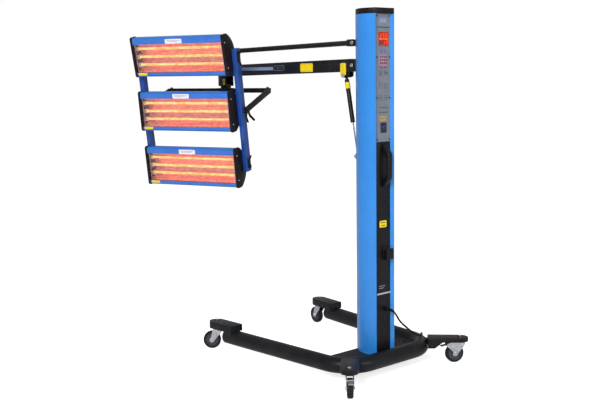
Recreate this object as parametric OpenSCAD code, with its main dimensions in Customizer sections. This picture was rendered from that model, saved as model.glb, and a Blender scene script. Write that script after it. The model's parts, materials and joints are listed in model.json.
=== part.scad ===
// Short-wave infrared dryer on a rolling stand, with three lamp cassettes on a balanced arm.
// Millimetres, +Z up. The origin is on the floor under the column's axis. The arm reaches along -X,
// and the operator stands at +X.

/* [Base] */
// Outer diameter of the base tube
tube_d = 76; // [60:1:90]
// Wall of the base tube
tube_wall = 3; // [2:0.5:5]
// Height of the tube's axis over the floor
tube_z = 79.5; // [75:0.5:95]
// Distance from the column's axis back to the cross-piece
cross_x = 120; // [118:1:140]
// Half length of the straight part of the cross-piece
cross_half = 144; // [130:1:165]
// Radius of the two bends
bend_r = 150; // [130:1:165]
// Angle by which each leg splays out
leg_splay = 4.8; // [2:0.1:7]
// Distance from the column's axis to the legs' front ends
leg_reach = 700; // [600:5:800]

/* [Casters] */
// Diameter of a wheel
wheel_d = 90; // [80:1:92]
// Width of a tyre
wheel_w = 26; // [20:1:28]
// Diameter of an axle
axle_d = 8; // [6:0.5:10]
// Distance from the swivel axis to the axle
trail = 28; // [22:1:34]
// Distance from the column's axis back to the rear casters
rear_caster_x = 220; // [205:1:245]
// Distance from the middle plane to the rear casters
rear_caster_y = 372; // [360:1:390]
// Distance from a leg's front end to its caster's swivel axis
tongue_reach = 89; // [80:1:120]
// Distance from a leg's line in to its caster's swivel axis
caster_inset = 2.27; // [0:0.01:6]
// Diameter of a caster's stem
stem_d = 12; // [10:1:14]

/* [Column] */
// Height of the column's top over the floor
column_top = 1675; // [1640:1:1800]
// Half depth of the column, from its axis to the rear corners
column_half = 78; // [74:0.5:84]
// Half width of the column at its rear corners
rear_half = 60.5; // [57:0.5:64]
// Half width of the column's narrow front face
front_half = 36; // [34:0.5:40]
// Radius of the bowed sides
bow_r = 100; // [97:0.5:104]
// Wall of the column
column_wall = 3; // [2:0.25:4]
// Depth of the recess in the column's rear
recess = 12; // [10:0.5:14]
// Half width of the recess's flat seat
seat_half = 45; // [43:0.5:48]
// Thickness of the panel and covers in the recess
panel_t = 3; // [2:0.25:4]
// Height of the control panel's lower edge
panel_low = 1092; // [1060:1:1120]
// Height of the trim strip between the two covers
trim_z = 376; // [350:1:400]

/* [Arm] */
// Distance from the column's axis to the arm's pivot
arm_pivot_x = 118; // [116:1:130]
// Height of the arm's pivot
arm_pivot_z = 1445; // [1425:1:1460]
// Distance between the beam's pivot and the upper rod's
link_gap = 105; // [98:1:112]
// Distance from the column's axis to the head's pivots
head_pivot_x = 1140; // [1100:1:1180]
// Fall of the arm toward the head, in degrees
arm_fall = 1.02; // [0:0.01:2]
// Width of the beam
beam_w = 40; // [38:0.5:42]
// Height of the beam
beam_h = 60; // [56:0.5:64]
// Diameter of the upper rod
rod_d = 25; // [20:0.5:27]
// Diameter of the pivot pins
pin_d = 12; // [8:0.5:14]

/* [Gas strut] */
// Distance from the column's axis to the strut's upper pin
strut_top_x = 178; // [172:1:184]
// Height of the strut's upper pin
strut_top_z = 1396; // [1390:1:1400]
// Distance from the column's axis to the strut's lower pin
strut_foot_x = 104; // [102:0.5:108]
// Height of the strut's lower pin
strut_foot_z = 1015; // [1000:1:1030]
// Outer diameter of the strut's cylinder
strut_d = 22; // [20:0.5:24]
// Diameter of the strut's rod
strut_rod_d = 8; // [6:0.5:9]

/* [Head] */
// Distance from the column's axis to the head's swivel axis
head_x = 1150; // [1146:1:1160]
// Length of the head box along the arm
head_len = 72; // [68:1:80]
// Width across the head box
head_w = 51; // [49:0.5:56]
// Height of the head box's floor
head_low = 1344; // [1336:1:1352]
// Height of the head box's top
head_top = 1584; // [1575:1:1600]
// Height of the yoke's bar
yoke_z = 1321; // [1316:1:1324]
// Distance from the swivel axis forward to the yoke's bar
yoke_ahead = 80; // [70:1:90]
// Direction that the lamps face, in degrees from +X
head_turn = -67; // [-90:1:-40]
// Distance from the swivel axis forward to the panel's pivot
panel_ahead = 340; // [320:1:360]
// Height of the panel's pivot
panel_z = 1224; // [1210:1:1240]
// Tilt of the lamp panel toward the floor
panel_tilt = 9; // [0:0.5:20]

/* [Lamps] */
// Length of a cassette's front between its end caps
lamp_len = 534; // [500:2:540]
// Thickness of an end cap
cap_t = 12; // [10:0.5:12]
// Height of a cassette
lamp_h = 204; // [190:1:210]
// Depth of a cassette's straight sides
lamp_side = 38; // [34:1:42]
// Depth of a cassette, front to back
lamp_depth = 98; // [92:1:102]
// Distance between the cassettes' pivots
lamp_pitch = 293; // [285:1:300]
// Tilt of each cassette on the rails, from the top one down
lamp_tilts = [4, -2, -1]; // [-10:1:10]
// Diameter of a quartz tube
quartz_d = 12; // [9:0.5:14]
// Width of a rail across its front
rail_w = 25; // [22:0.5:28]
// Depth of a rail
rail_deep = 40; // [36:1:44]
// Half length of the rails
rail_half = 317.5; // [312:0.5:330]

/* [Cord] */
// Diameter of the mains cord
cord_d = 9; // [8:0.5:9.5]

/* [Hidden] */

$fn = 64;
cut = 1;
seat = 0.3;
run = 0.05;
blue = "#2f86d6";
black = "#1d1e20";
steel = "#c9ccd0";
grey = "#8b9199";
yellow = "#e2c21a";

// Base: plate under the column, arms and tongues that carry the casters
plate_t = 6;
plate_rise = 8.5;
plate_top = tube_z + plate_rise;
plate_front = -70;
bend_turn = 90 - leg_splay;
bend_x = cross_x - bend_r;
arm_w = 83;
arm_t = 5;
arm_lip = 14;
arm_back = 155;
arm_angle = 45;
arm_top = 123;
gusset_deep = 30;
gusset_len = 66;
tongue_rise = 27;
tongue_w = 80;
tongue_t = 5;
tongue_lap = 60;
tongue_top = tube_z + tube_d / 2 + tongue_rise;
plug_t = 6;
plug_in = 20;
bend_end_x = bend_x + bend_r * sin(leg_splay);
bend_end_y = cross_half + bend_r * cos(leg_splay);
leg_len = (leg_reach + bend_end_x) / cos(leg_splay);
leg_end_y = bend_end_y + (leg_reach + bend_end_x) * tan(leg_splay);
front_caster_x = leg_reach + tongue_reach;
front_caster_y = leg_end_y + tongue_reach * tan(leg_splay) - caster_inset;
plate_hole_x = 10;
plate_hole_y = 205;
plate_hole_d = 24;
foot_deep = 96;
foot_w = 62;
foot_h = 90;
foot_t = 5;
foot_shift = 4;
tongue_drop = 30;

// Casters: race, fork, wheel and pedal
fork_top = 106;
fork_head_d = 44;
fork_head_h = 10;
fork_gap = 3;
cheek_t = 2.5;
axle_nut = 4;
race_d = 40;
nut_d = 19;
nut_h = 6;
rear_trails = [-40, -119];
front_trails = [-131, 174];
hub_d = 24;
pedal_x = 64;
pedal_z = 90;
pedal_d = 6;
pedal_eye_d = pedal_d + 5;
pedal_dip = 12;
pedal_len = 34;
pedal_w = 22;
pedal_t = 4;

// Column: the bowed sides are arcs round a point beside the axis
bow_x = 14;
bow_y = 21;
bow_from = -64;
bow_to = -131;
bow_steps = 10;
ledge = 10;
panel_x = column_half - recess;
ledge_x = panel_x - panel_t;
cap_h = 26;
cap_bevel = 24;
screw_d = 4;
screw_head_d = 7;
screw_head_h = 1.6;
screw_y = seat_half - ledge / 2;
screw_edge = 10;
screw_height_shares = [0.336, 0.654];
screw_zs = concat([column_top - screw_edge, panel_low + screw_edge],
    [for (share = screw_height_shares) column_top - share * (column_top - panel_low)]);
display_w = 66;
display_h = 64;
display_y = 2;
display_z = column_top - 114;
switch_w = 37;
switch_h = 46;
switch_z = panel_low + 65;
rocker_w = 20;
rocker_h = 32;
rocker_tilt = 8;
rim = 3;
switch_deep = 22;
rocker_deep = 6;
rocker_pin_d = 3;
trim_h = 8;
handle_z = panel_low - 110;
handle_h = 199;
handle_w = 25;
handle_out = 45;
handle_grip = 14;
handle_slope = 34;
handle_foot = 22;
handle_edge = 8;
handle_round = 6;
handle_turn = 9;
hook_z = trim_z + 191;
hook_w = 42;
hook_out = 29;
hook_h = 62;
hook_t = 4;
hook_floor = 8;
hook_fall = 4;
hook_lip_share = 0.9;
hook_y = 16;
gland_z = trim_z - 76;
gland_y = 10;
gland_d = 22;
gland_out = 22;
gland_nut_h = 8;
gland_body_h = 7;
gland_tail = 6;
gland_neck_share = 0.7;
gland_body_share = 0.82;
gland_lip = 1.5;
board_t = 2;
board_gap = 10;
board_edge = 40;
board_foot = 110;
board_side = 1;
relay_deep = 16;
relay_w = 12;
relay_h = 28;
relay_step = 15;
relay_in = 6;
relay_up = 20;
can_d = 20;
can_h = 25;
can_y = 16;
can_up = 100;
post_d = 7;
post_in = 8;
post_up = 130;
post_down = 60;
unit_w = 62;
unit_h = 240;
unit_deep = 70;
unit_z = 700;
unit_rail_t = 8;
unit_rail_w = 34;
unit_low = 10;
unit_share = 0.42;
terminal_share = 0.55;
terminal_w = 11;
terminal_step = 11.4;
terminal_deep = 40;
terminal_h = 60;

// Arm: pivots of the beam, the rod and the head
lug_t = 20;
lug_r = 17;
mount_t = 6;
mount_w = 60;
pin_over = 3;
beam_wall = 3;
arm_run = head_pivot_x - arm_pivot_x;
arm_drop = arm_run * tan(arm_fall);
arm_len = arm_run / cos(arm_fall);
head_pivot_z = arm_pivot_z - arm_drop;
beam_relief = 46;
rod_eye_r = 16;
rod_eye_w = 36;
rod_neck = 40;
rod_gap = 10;

// Strut: the rod lies off the cylinder's axis at rest and crosses it as the arm swings
strut_slip = 1.5;
strut_run = strut_top_x - strut_foot_x;
strut_rise = strut_top_z - strut_foot_z;
strut_lean = atan2(strut_run, strut_rise);
strut_span = norm([strut_run, strut_rise]);
strut_body = 225;
strut_reach = 300;
strut_wall = 3;
strut_neck = 18;
strut_pin_d = 8;
strut_eye_d = 20;
clevis_w = 30;
clevis_t = 5;
side_plate_t = 3;
foot_lug_t = 5;

// Head, yoke and rails
head_wall = 3;
head_floor = 8;
spindle_d = 30;
flange_d = 57;
yoke_bar = 25;
yoke_arm_t = 8;
yoke_arm_h = 30;
tongue_plate_w = 60;
tongue_plate_t = 6;
yoke_pin_d = 18;
collar = 8;
rail_gap = 0.8;
rail_inner = lamp_len / 2 + cap_t + rail_gap;
rail_wall = 2;
rail_outer = rail_inner + rail_w;
yoke_gap = 6.2;
yoke_inner = rail_outer + yoke_gap;
yoke_outer = yoke_inner + yoke_arm_t;
clamp_d = 24;
clamp_t = 7;
clamp_len = 62;
clamp_h = 12;

// Cassette: its front plane lies ahead of the pivot, its back is an arc
lamp_front = 85;
lamp_up = 6;
lamp_wall = 2.5;
back_run = lamp_depth - lamp_side;
back_r = (lamp_h * lamp_h / 4 + back_run * back_run) / (2 * back_run);
back_x = lamp_front - lamp_depth + back_r;
back_half = asin(lamp_h / 2 / back_r);
back_steps = 12;
top_flange = 34;
low_flange = 22;
flange_bevel = 8;
lamp_pin_d = 10;
lamp_places = [1, 0, -1];
quartz_places = [46, 4, -38];
quartz_over = 14;
quartz_x = lamp_front - 34;
holder_d = 20;
mirror_t = 1.5;
mirror_deep = 54;
mirror_half_h = 76;
mesh_t = 2;
mesh_bar = 1.6;
mesh_cols = 22;
mesh_rows = 6;
mesh_back = 6;
mesh_edge = 8;
lever_turns = [70, 118, -80];
near_lever_turn = 62;
far_lever_turn = 160;

// Cord: hand-chosen points, the wound rest of it and the plug
cord_points = [[88, 10, 300], [98, 10, 300], [109, 10.7, 298.3], [119.5, 12.7, 293],
    [128, 16, 284], [132.5, 21.5, 272.5], [133.5, 29, 260], [132, 39.5, 248.5], [129, 52.5, 237],
    [125, 67, 226], [120, 86, 213], [114, 107, 199], [108, 129, 184], [102, 152, 169],
    [96, 176, 155], [89, 200, 143], [81, 223, 133.5], [71, 246, 127], [59, 267, 123.3],
    [46, 286, 121.8], [33, 303, 118], [20, 319.5, 109.4], [9, 332.5, 91], [1, 341, 64],
    [-6, 346.5, 37], [-18, 350.5, 16], [-36, 351, 6], [-58, 348.6, 4.75], [-76, 346.6, 4.75],
    [-86, 346, 4.75], [-96, 346, 4.75]];
cord_sides = 10;
cord_steps = 3;
coil_x = -105;
coil_y = 408;
coil_r = 62;
coil_pitch = 9.7;
coil_rise = 9.6;
coil_low = 4.75;
layer_turns = 2.5;
layers = 4;
last_turns = 1.25;
last_level = 1;
coil_tail = 20;
rings_per_turn = 24;
coil_sides = 6;
prong_d = 4.8;
prong_gap = 19;
prong_len = 19;
plug_body = 34;
plug_w = 38;
plug_h = 27;
plug_neck = 14;

// A piece and its twin across the middle plane
module mirrored_pair() {
    children();
    mirror([0, 1, 0]) children();
}

// One leg and its bend as a round bar of diameter d
module half_frame(d, short = 0) {
    translate([bend_x, cross_half, tube_z])
        rotate_extrude(angle = bend_turn) translate([bend_r, 0]) circle(d = d);
    translate([bend_x, cross_half, tube_z]) rotate([0, 0, bend_turn]) translate([bend_r, 0, 0])
        rotate([-90, 0, 0]) cylinder(d = d, h = leg_len - short);
}

module frame_bar(d, short = 0) {
    mirrored_pair() half_frame(d, short);
    translate([cross_x, -cross_half, tube_z]) rotate([-90, 0, 0]) cylinder(d = d, h = 2 * cross_half);
}

module base_tube() {
    color(black) difference() {
        frame_bar(tube_d);
        frame_bar(tube_d - 2 * tube_wall, -cut);
    }
}

// The plate fills the back of the frame and carries the column
module base_plate() {
    r = bend_r - tube_d / 2 - seat;
    arc = [for (i = [0:6]) let (a = bend_turn * i / 6) [bend_x + r * cos(a), cross_half + r * sin(a)]];
    front_y = arc[6][1] + (arc[6][0] - plate_front) * tan(leg_splay);
    half = concat(arc, [[plate_front, front_y]]);
    other = [for (p = backward(half)) [p[0], -p[1]]];
    color("#2b2c26") translate([0, 0, plate_top - plate_t]) linear_extrude(plate_t) difference() {
        polygon(concat(half, other));
        for (s = [1, -1]) translate([plate_hole_x, s * plate_hole_y]) circle(d = plate_hole_d);
    }
    color(black) difference() {
        translate([-foot_deep / 2 - foot_shift, -foot_w / 2, plate_top])
            cube([foot_deep, foot_w, foot_h]);
        translate([-foot_deep / 2 - foot_shift + foot_t, -foot_w / 2 + foot_t, plate_top - cut])
            cube([foot_deep - 2 * foot_t, foot_w - 2 * foot_t, foot_h + 2 * cut]);
    }
}

// A flat channel with a rounded end, its rounded end at the origin, running along -X
module caster_channel(w, t, lip, back, top) {
    translate([0, 0, top - t]) linear_extrude(t) channel_shape(w, back);
    translate([0, 0, top - t - lip]) linear_extrude(lip) difference() {
        channel_shape(w, back);
        channel_shape(w - 2 * t, back + cut);
    }
}

module channel_shape(w, back) {
    circle(d = w);
    translate([-back, -w / 2]) square([back, w]);
}

module rear_arm() {
    translate([rear_caster_x, rear_caster_y, 0]) rotate([0, 0, arm_angle]) difference() {
        union() {
            caster_channel(arm_w, arm_t, arm_lip, arm_back, arm_top);
            for (s = [1, -1]) translate([0, s * (arm_w / 2 - arm_t / 2) + arm_t / 2, 0])
                rotate([90, 0, 0]) linear_extrude(arm_t)
                polygon([[-arm_back, arm_top - arm_t], [-arm_back, arm_top - arm_t - arm_lip - gusset_deep],
                    [-arm_back + gusset_len / 2, arm_top - arm_t - arm_lip - gusset_deep],
                    [-arm_back + gusset_len + arm_lip, arm_top - arm_t - arm_lip / 2]]);
        }
        translate([0, 0, arm_top - arm_t - cut]) cylinder(d = stem_d + 2 * run, h = arm_t + 2 * cut);
    }
}

// The arms are welded to the bends, so the bends' outline is cut out of them
module rear_arms() {
    color(black) difference() {
        mirrored_pair() rear_arm();
        frame_bar(tube_d + 2 * seat);
    }
}

// Each tongue is a hood on the end of a leg, with a plug in the tube below it
module leg_tongue() {
    reach = tongue_reach;
    translate([-front_caster_x, front_caster_y, 0]) rotate([0, 0, 180 - leg_splay]) difference() {
        union() {
            caster_channel(tongue_w, tongue_t, tongue_drop, reach + tongue_lap, tongue_top);
            translate([-reach + tongue_t, -tongue_w / 2, tongue_top - tongue_t - tongue_drop])
                cube([tongue_t, tongue_w, tongue_drop]);
        }
        translate([0, 0, tongue_top - tongue_t - cut])
            cylinder(d = stem_d + 2 * run, h = tongue_t + 2 * cut);
    }
    translate([-leg_reach, leg_end_y, tube_z]) rotate([0, 0, -leg_splay]) rotate([0, -90, 0]) {
        translate([0, 0, seat]) cylinder(d = tube_d, h = plug_t);
        translate([0, 0, -plug_in]) cylinder(d = tube_d - 2 * tube_wall - 2 * seat, h = plug_in + seat);
    }
}

module leg_tongues() {
    color(black) difference() {
        mirrored_pair() leg_tongue();
        mirrored_pair() translate([bend_end_x, bend_end_y, tube_z]) rotate([0, 0, -leg_splay])
            rotate([0, -90, 0]) difference() {
                cylinder(d = tube_d + 2 * seat, h = leg_len + seat);
                cylinder(d = tube_d - 2 * tube_wall - 2 * seat, h = leg_len + 2 * seat);
            }
    }
}

// A stem hangs from its plate by a nut and carries the fork's race
module caster_stem(top, t) {
    cylinder_from(fork_top - fork_head_h - 2, top + nut_h + 3, stem_d);
    translate([0, 0, top]) cylinder(d = nut_d, h = nut_h, $fn = 6);
    cylinder_from(fork_top + fork_gap / 3, top - t, race_d - 12);
    cylinder_from(fork_top + fork_gap / 3, fork_top + fork_gap, race_d);
    cylinder_from(fork_top - fork_head_h - 4, fork_top - fork_head_h - fork_gap / 3, stem_d + 6);
}

module cylinder_from(low, high, d) {
    translate([0, 0, low]) cylinder(d = d, h = high - low);
}

module caster_stems() {
    color(steel) mirrored_pair() {
        translate([rear_caster_x, rear_caster_y, 0]) caster_stem(arm_top, arm_t);
        translate([-front_caster_x, front_caster_y, 0]) caster_stem(tongue_top, tongue_t);
    }
}

// The fork's wheel lies along +X of its own frame, trailing behind the stem
module fork(pedal) {
    inner = wheel_w / 2 + fork_gap / 2;
    axle_z = wheel_d / 2;
    color(steel) {
        difference() {
            union() {
                cylinder_from(fork_top - fork_head_h, fork_top, fork_head_d);
                for (s = [1, -1]) translate([0, s * (inner + cheek_t / 2) + cheek_t / 2, 0])
                    rotate([90, 0, 0]) linear_extrude(cheek_t) cheek_shape(axle_z, pedal);
            }
            cylinder_from(fork_top - fork_head_h - cut, fork_top + cut, stem_d + 2 * run);
        }
        translate([trail, inner + cheek_t + axle_nut, axle_z]) rotate([90, 0, 0])
            cylinder(d = axle_d, h = 2 * (inner + cheek_t + axle_nut));
        for (s = [1, -1]) translate([trail, s * (inner + cheek_t + axle_nut / 2) + axle_nut / 2, axle_z])
            rotate([90, 0, 0]) cylinder(d = axle_d + 6, h = axle_nut, $fn = 6);
        if (pedal) translate([pedal_x, inner + cheek_t, pedal_z]) rotate([90, 0, 0])
            cylinder(d = pedal_d, h = 2 * (inner + cheek_t));
    }
}

module cheek_shape(axle_z, pedal) {
    head = fork_head_d / 2 - 1;
    polygon([[-head, fork_top], [head, fork_top], [trail + axle_d, axle_z + axle_d / 2],
        [trail + axle_d, axle_z - axle_d], [trail - axle_d, axle_z - axle_d], [-head, fork_top - 2 * fork_head_h]]);
    translate([trail, axle_z]) circle(r = axle_d * 1.6);
    if (pedal) polygon([[0, fork_top], [head, fork_top], [pedal_x + pedal_d, pedal_z + pedal_d],
        [pedal_x + pedal_d, pedal_z - pedal_d], [trail, axle_z]]);
}

module place_fork(i, rear) {
    s = i == 0 ? -1 : 1;
    x = rear ? rear_caster_x : -front_caster_x;
    y = rear ? rear_caster_y : front_caster_y;
    turn = rear ? rear_trails[i] : front_trails[i];
    translate([x, s * y, 0]) rotate([0, 0, turn]) children();
}

// Tyre, rim and hub, turned round the axle
module wheel() {
    half = wheel_w / 2;
    r = wheel_d / 2;
    tread = 12;
    web = 5;
    translate([trail, 0, wheel_d / 2]) rotate([90, 0, 0]) {
        color(black) rotate_extrude() polygon([[r - tread, -half], [r - 3, -half], [r, -half + 5],
            [r, half - 5], [r - 3, half], [r - tread, half]]);
        color(grey) rotate_extrude() polygon([[axle_d / 2 + run, -half], [hub_d / 2, -half],
            [hub_d / 2 + 3, -web], [r - tread - 5, -web], [r - tread - 2, -half + 1], [r - tread, -half + 1],
            [r - tread, half - 1], [r - tread - 2, half - 1], [r - tread - 5, web], [hub_d / 2 + 3, web],
            [hub_d / 2, half], [axle_d / 2 + run, half]]);
    }
}

module pedal() {
    color(steel) translate([pedal_x, pedal_w / 2, pedal_z]) rotate([90, 0, 0]) linear_extrude(pedal_w)
        difference() {
            union() {
                circle(d = pedal_eye_d);
                rotate(-pedal_dip) translate([0, -pedal_t / 2]) square([pedal_len, pedal_t]);
            }
            circle(d = pedal_d + 2 * run);
        }
}

// Column section, from a rear corner round the bowed side to the front face, inset by a wall
function bow(inset, s) = [for (i = [0:bow_steps]) let (a = bow_from + (bow_to - bow_from) * i / bow_steps)
    [bow_x + (bow_r - inset) * cos(a), s * (bow_y + (bow_r - inset) * sin(a))]];
function side_outer(s) = concat([[column_half, -s * rear_half]], bow(0, s),
    [[-column_half, -s * front_half]]);
function side_inner(s) = concat([[panel_x, -s * seat_half], [ledge_x, -s * seat_half],
    [ledge_x, -s * (seat_half - ledge)], [ledge_x - column_wall, -s * (seat_half - ledge)],
    [ledge_x - column_wall, -s * (seat_half + column_wall * 0.8)],
    [column_half - 1.5 * column_wall, -s * (rear_half - 0.4 * column_wall)]],
    bow(column_wall, s), [[column_wall - column_half, -s * (front_half - 0.5 * column_wall)]]);
function backward(points) = [for (i = [len(points) - 1:-1:0]) points[i]];

module column() {
    color(blue) difference() {
        translate([0, 0, plate_top]) linear_extrude(column_top - plate_top)
            polygon(concat(side_outer(1), backward(side_outer(-1)), side_inner(-1), backward(side_inner(1))));
        for (z = screw_zs, s = [1, -1]) translate([ledge_x - column_wall - cut, s * screw_y, z])
            rotate([0, 90, 0]) cylinder(d = screw_d + 2 * run, h = column_wall + 2 * cut);
    }
}

module column_cap() {
    spigot = 12;
    color(black) difference() {
        union() {
            translate([0, 0, column_top]) linear_extrude(cap_h)
                polygon(concat(side_outer(1), backward(side_outer(-1))));
            translate([-column_half + 2 * column_wall, -seat_half + ledge, column_top - spigot])
                cube([column_half + ledge_x - 4 * column_wall, 2 * (seat_half - ledge), spigot]);
        }
        translate([-column_half, -rear_half * 2, column_top + cap_h * 0.25]) rotate([0, -42, 0])
            translate([-cap_bevel * 2, 0, 0]) cube([cap_bevel * 2, rear_half * 4, cap_h * 3]);
    }
}

// A panel in the recess between two heights
module recess_panel(low, high) {
    translate([ledge_x, -seat_half + seat, low]) cube([panel_t, 2 * (seat_half - seat), high - low]);
}

module control_panel() {
    color(grey) difference() {
        union() {
            recess_panel(panel_low + seat, column_top - seat);
            for (z = [panel_low + post_up, column_top - post_down], s = [1, -1])
                translate([ledge_x - board_gap, s * (seat_half - ledge - post_in), z]) rotate([0, 90, 0])
                cylinder(d = post_d, h = board_gap);
        }
        translate([ledge_x - cut, display_y - display_w / 2, display_z - display_h / 2])
            cube([panel_t + 2 * cut, display_w, display_h]);
        translate([ledge_x - cut, -switch_w / 2 + rim, switch_z - switch_h / 2 + rim])
            cube([panel_t + 2 * cut, switch_w - 2 * rim, switch_h - 2 * rim]);
        for (z = screw_zs, s = [1, -1]) translate([ledge_x - cut, s * screw_y, z])
            rotate([0, 90, 0]) cylinder(d = screw_d + 2 * run, h = panel_t + 2 * cut);
    }
}

module display_window() {
    color("#d8341c") translate([ledge_x, display_y - display_w / 2 + seat, display_z - display_h / 2 + seat])
        cube([panel_t + 0.7, display_w - 2 * seat, display_h - 2 * seat]);
}

module panel_screws() {
    color("#2a2c30") for (z = screw_zs, s = [1, -1]) translate([ledge_x - column_wall, s * screw_y, z])
        rotate([0, 90, 0]) {
            cylinder(d = screw_d, h = column_wall + panel_t);
            translate([0, 0, column_wall + panel_t]) cylinder(d = screw_head_d, h = screw_head_h);
        }
}

module rear_cover() {
    color(black) recess_panel(trim_z + trim_h / 2 + seat, panel_low);
}

module lower_cover() {
    color(black) difference() {
        recess_panel(plate_top, trim_z - trim_h / 2 - seat);
        translate([ledge_x - cut, gland_y, gland_z]) rotate([0, 90, 0])
            cylinder(d = gland_d * gland_neck_share + 2 * run, h = panel_t + 2 * cut);
    }
}

module trim_strip() {
    color(steel) translate([ledge_x, -seat_half + seat, trim_z - trim_h / 2])
        cube([panel_t + 2.5, 2 * (seat_half - seat), trim_h]);
}

// D-shaped pull with sloped ends that stands on the cover
module pull_handle() {
    low = handle_z - handle_h / 2;
    high = handle_z + handle_h / 2;
    grip_low = low + handle_slope;
    grip_high = high - handle_slope;
    inside = handle_out - handle_grip;
    color(black) translate([panel_x, handle_w / 2, 0]) rotate([90, 0, 0]) linear_extrude(handle_w)
        difference() {
            polygon([[0, low], [handle_edge, low], [handle_out - handle_round, grip_low],
                [handle_out, grip_low + handle_turn], [handle_out, grip_high - handle_turn],
                [handle_out - handle_round, grip_high], [handle_edge, high], [0, high]]);
            polygon([[0, low + handle_foot], [inside - handle_round, grip_low + handle_foot],
                [inside, grip_low + handle_foot + handle_turn], [inside, grip_high - handle_foot - handle_turn],
                [inside - handle_round, grip_high - handle_foot], [0, high - handle_foot]]);
        }
}

// Shelf with an upturned lip that the cord is hung on
module cable_hook() {
    low = hook_z - hook_h / 2;
    lip_z = low + hook_h * hook_lip_share;
    color(black) translate([panel_x, hook_y + hook_w / 2, 0]) rotate([90, 0, 0]) linear_extrude(hook_w)
        polygon([[0, low], [hook_out, low + hook_t], [hook_out, lip_z], [hook_out - hook_t, lip_z],
            [hook_out - hook_t, low + hook_floor + hook_fall], [hook_t, low + hook_floor],
            [hook_t, low + hook_h], [0, low + hook_h]]);
}

module switch_frame() {
    color("#1e2b52") difference() {
        union() {
            translate([panel_x, -switch_w / 2, switch_z - switch_h / 2]) cube([rim, switch_w, switch_h]);
            translate([panel_x - switch_deep, -switch_w / 2 + rim + seat, switch_z - switch_h / 2 + rim + seat])
                cube([switch_deep, switch_w - 2 * rim - 2 * seat, switch_h - 2 * rim - 2 * seat]);
        }
        translate([panel_x - switch_deep + rim, -rocker_w / 2 - rim / 2, switch_z - rocker_h / 2 - rim / 2])
            cube([switch_deep + 2 * rim, rocker_w + rim, rocker_h + rim]);
    }
    color("#1e2b52") translate([panel_x - rocker_deep, rocker_w / 2 + rim, switch_z]) rotate([90, 0, 0])
        cylinder(d = rocker_pin_d, h = rocker_w + 2 * rim);
}

// The rocker is a flat-bottomed wedge that turns on a pin across the frame
module switch_rocker() {
    h = rocker_h / 2 - 1;
    color("#b3271d") translate([panel_x - rocker_deep, rocker_w / 2, switch_z]) rotate([0, rocker_tilt, 0])
        rotate([90, 0, 0]) linear_extrude(rocker_w) difference() {
            polygon([[-5, -7], [2, -h], [9, -h], [7, 0], [9, h], [2, h], [-5, 7]]);
            circle(d = rocker_pin_d + 2 * run, $fn = 64);
        }
}

module cable_gland() {
    neck = gland_d * gland_neck_share;
    cone_z = gland_nut_h + gland_body_h;
    color(black) translate([panel_x, gland_y, gland_z]) rotate([0, 90, 0]) {
        translate([0, 0, -panel_t - gland_tail]) cylinder(d = neck, h = panel_t + gland_tail);
        cylinder(d = gland_d, h = gland_nut_h, $fn = 6);
        translate([0, 0, gland_nut_h]) cylinder(d = gland_d * gland_body_share, h = gland_body_h);
        translate([0, 0, cone_z]) cylinder(d1 = neck, d2 = cord_d + 2 * gland_lip, h = gland_out - cone_z);
    }
}

// Board on the panel's posts, with the relays, the capacitors and the display's driver
module control_board() {
    x = ledge_x - board_gap - board_t;
    w = 2 * (seat_half - ledge - board_side);
    low = panel_low + board_foot;
    color("#2c6b46") translate([x, -w / 2, low]) cube([board_t, w, column_top - board_edge - low]);
    color(black) for (i = [0:3])
        translate([x - relay_deep, relay_in - w / 2 + i * relay_step, low + relay_up])
        cube([relay_deep, relay_w, relay_h]);
    color(steel) for (s = [1, -1]) translate([x - can_h, s * can_y, low + can_up]) rotate([0, 90, 0])
        cylinder(d = can_d, h = can_h);
}

// Contactor and terminals on a rail on the column's front wall
module power_unit() {
    x = column_wall - column_half;
    color(steel) translate([x, -unit_rail_w / 2, unit_z]) cube([unit_rail_t, unit_rail_w, unit_h]);
    color("#3a3d42") translate([x + unit_rail_t, -unit_w / 2, unit_z + unit_low])
        cube([unit_deep, unit_w, unit_h * unit_share]);
    color("#d7d9d2") for (i = [0:2])
        translate([x + unit_rail_t, i * terminal_step - unit_rail_w / 2, unit_z + unit_h * terminal_share])
        cube([terminal_deep, terminal_w, terminal_h]);
}

// A bar seen from the side between two pivots, in the x z plane
module side_plate(points, t) {
    translate([0, t / 2, 0]) rotate([90, 0, 0]) linear_extrude(t) polygon(points);
}

module pin_y(x, z, d, len) {
    translate([x, len / 2, z]) rotate([90, 0, 0]) cylinder(d = d, h = len);
}

// Foot on the column's front with one lug that carries the beam's and the rod's pins
module arm_bracket() {
    face = -column_half - mount_t;
    color(black) {
        translate([face, -mount_w / 2, arm_pivot_z - 55]) cube([mount_t, mount_w, link_gap + 110]);
        difference() {
            union() {
                side_plate([[face, arm_pivot_z - 45], [face, arm_pivot_z + link_gap + 45],
                    [-arm_pivot_x + lug_r - 2, arm_pivot_z + link_gap + lug_r - 6],
                    [-arm_pivot_x, arm_pivot_z + link_gap], [-arm_pivot_x + lug_r, arm_pivot_z + link_gap - lug_r],
                    [-arm_pivot_x + lug_r, arm_pivot_z + lug_r],
                    [-arm_pivot_x, arm_pivot_z], [-arm_pivot_x + lug_r, arm_pivot_z - lug_r]], lug_t);
                for (z = [0, link_gap]) pin_y(-arm_pivot_x, arm_pivot_z + z, 2 * lug_r - 4, lug_t);
            }
        }
    }
    color(steel) {
        pin_y(-arm_pivot_x, arm_pivot_z, pin_d, beam_w + 2 * pin_over);
        pin_y(-arm_pivot_x, arm_pivot_z + link_gap, pin_d, rod_eye_w + 2 * pin_over);
    }
}

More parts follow.
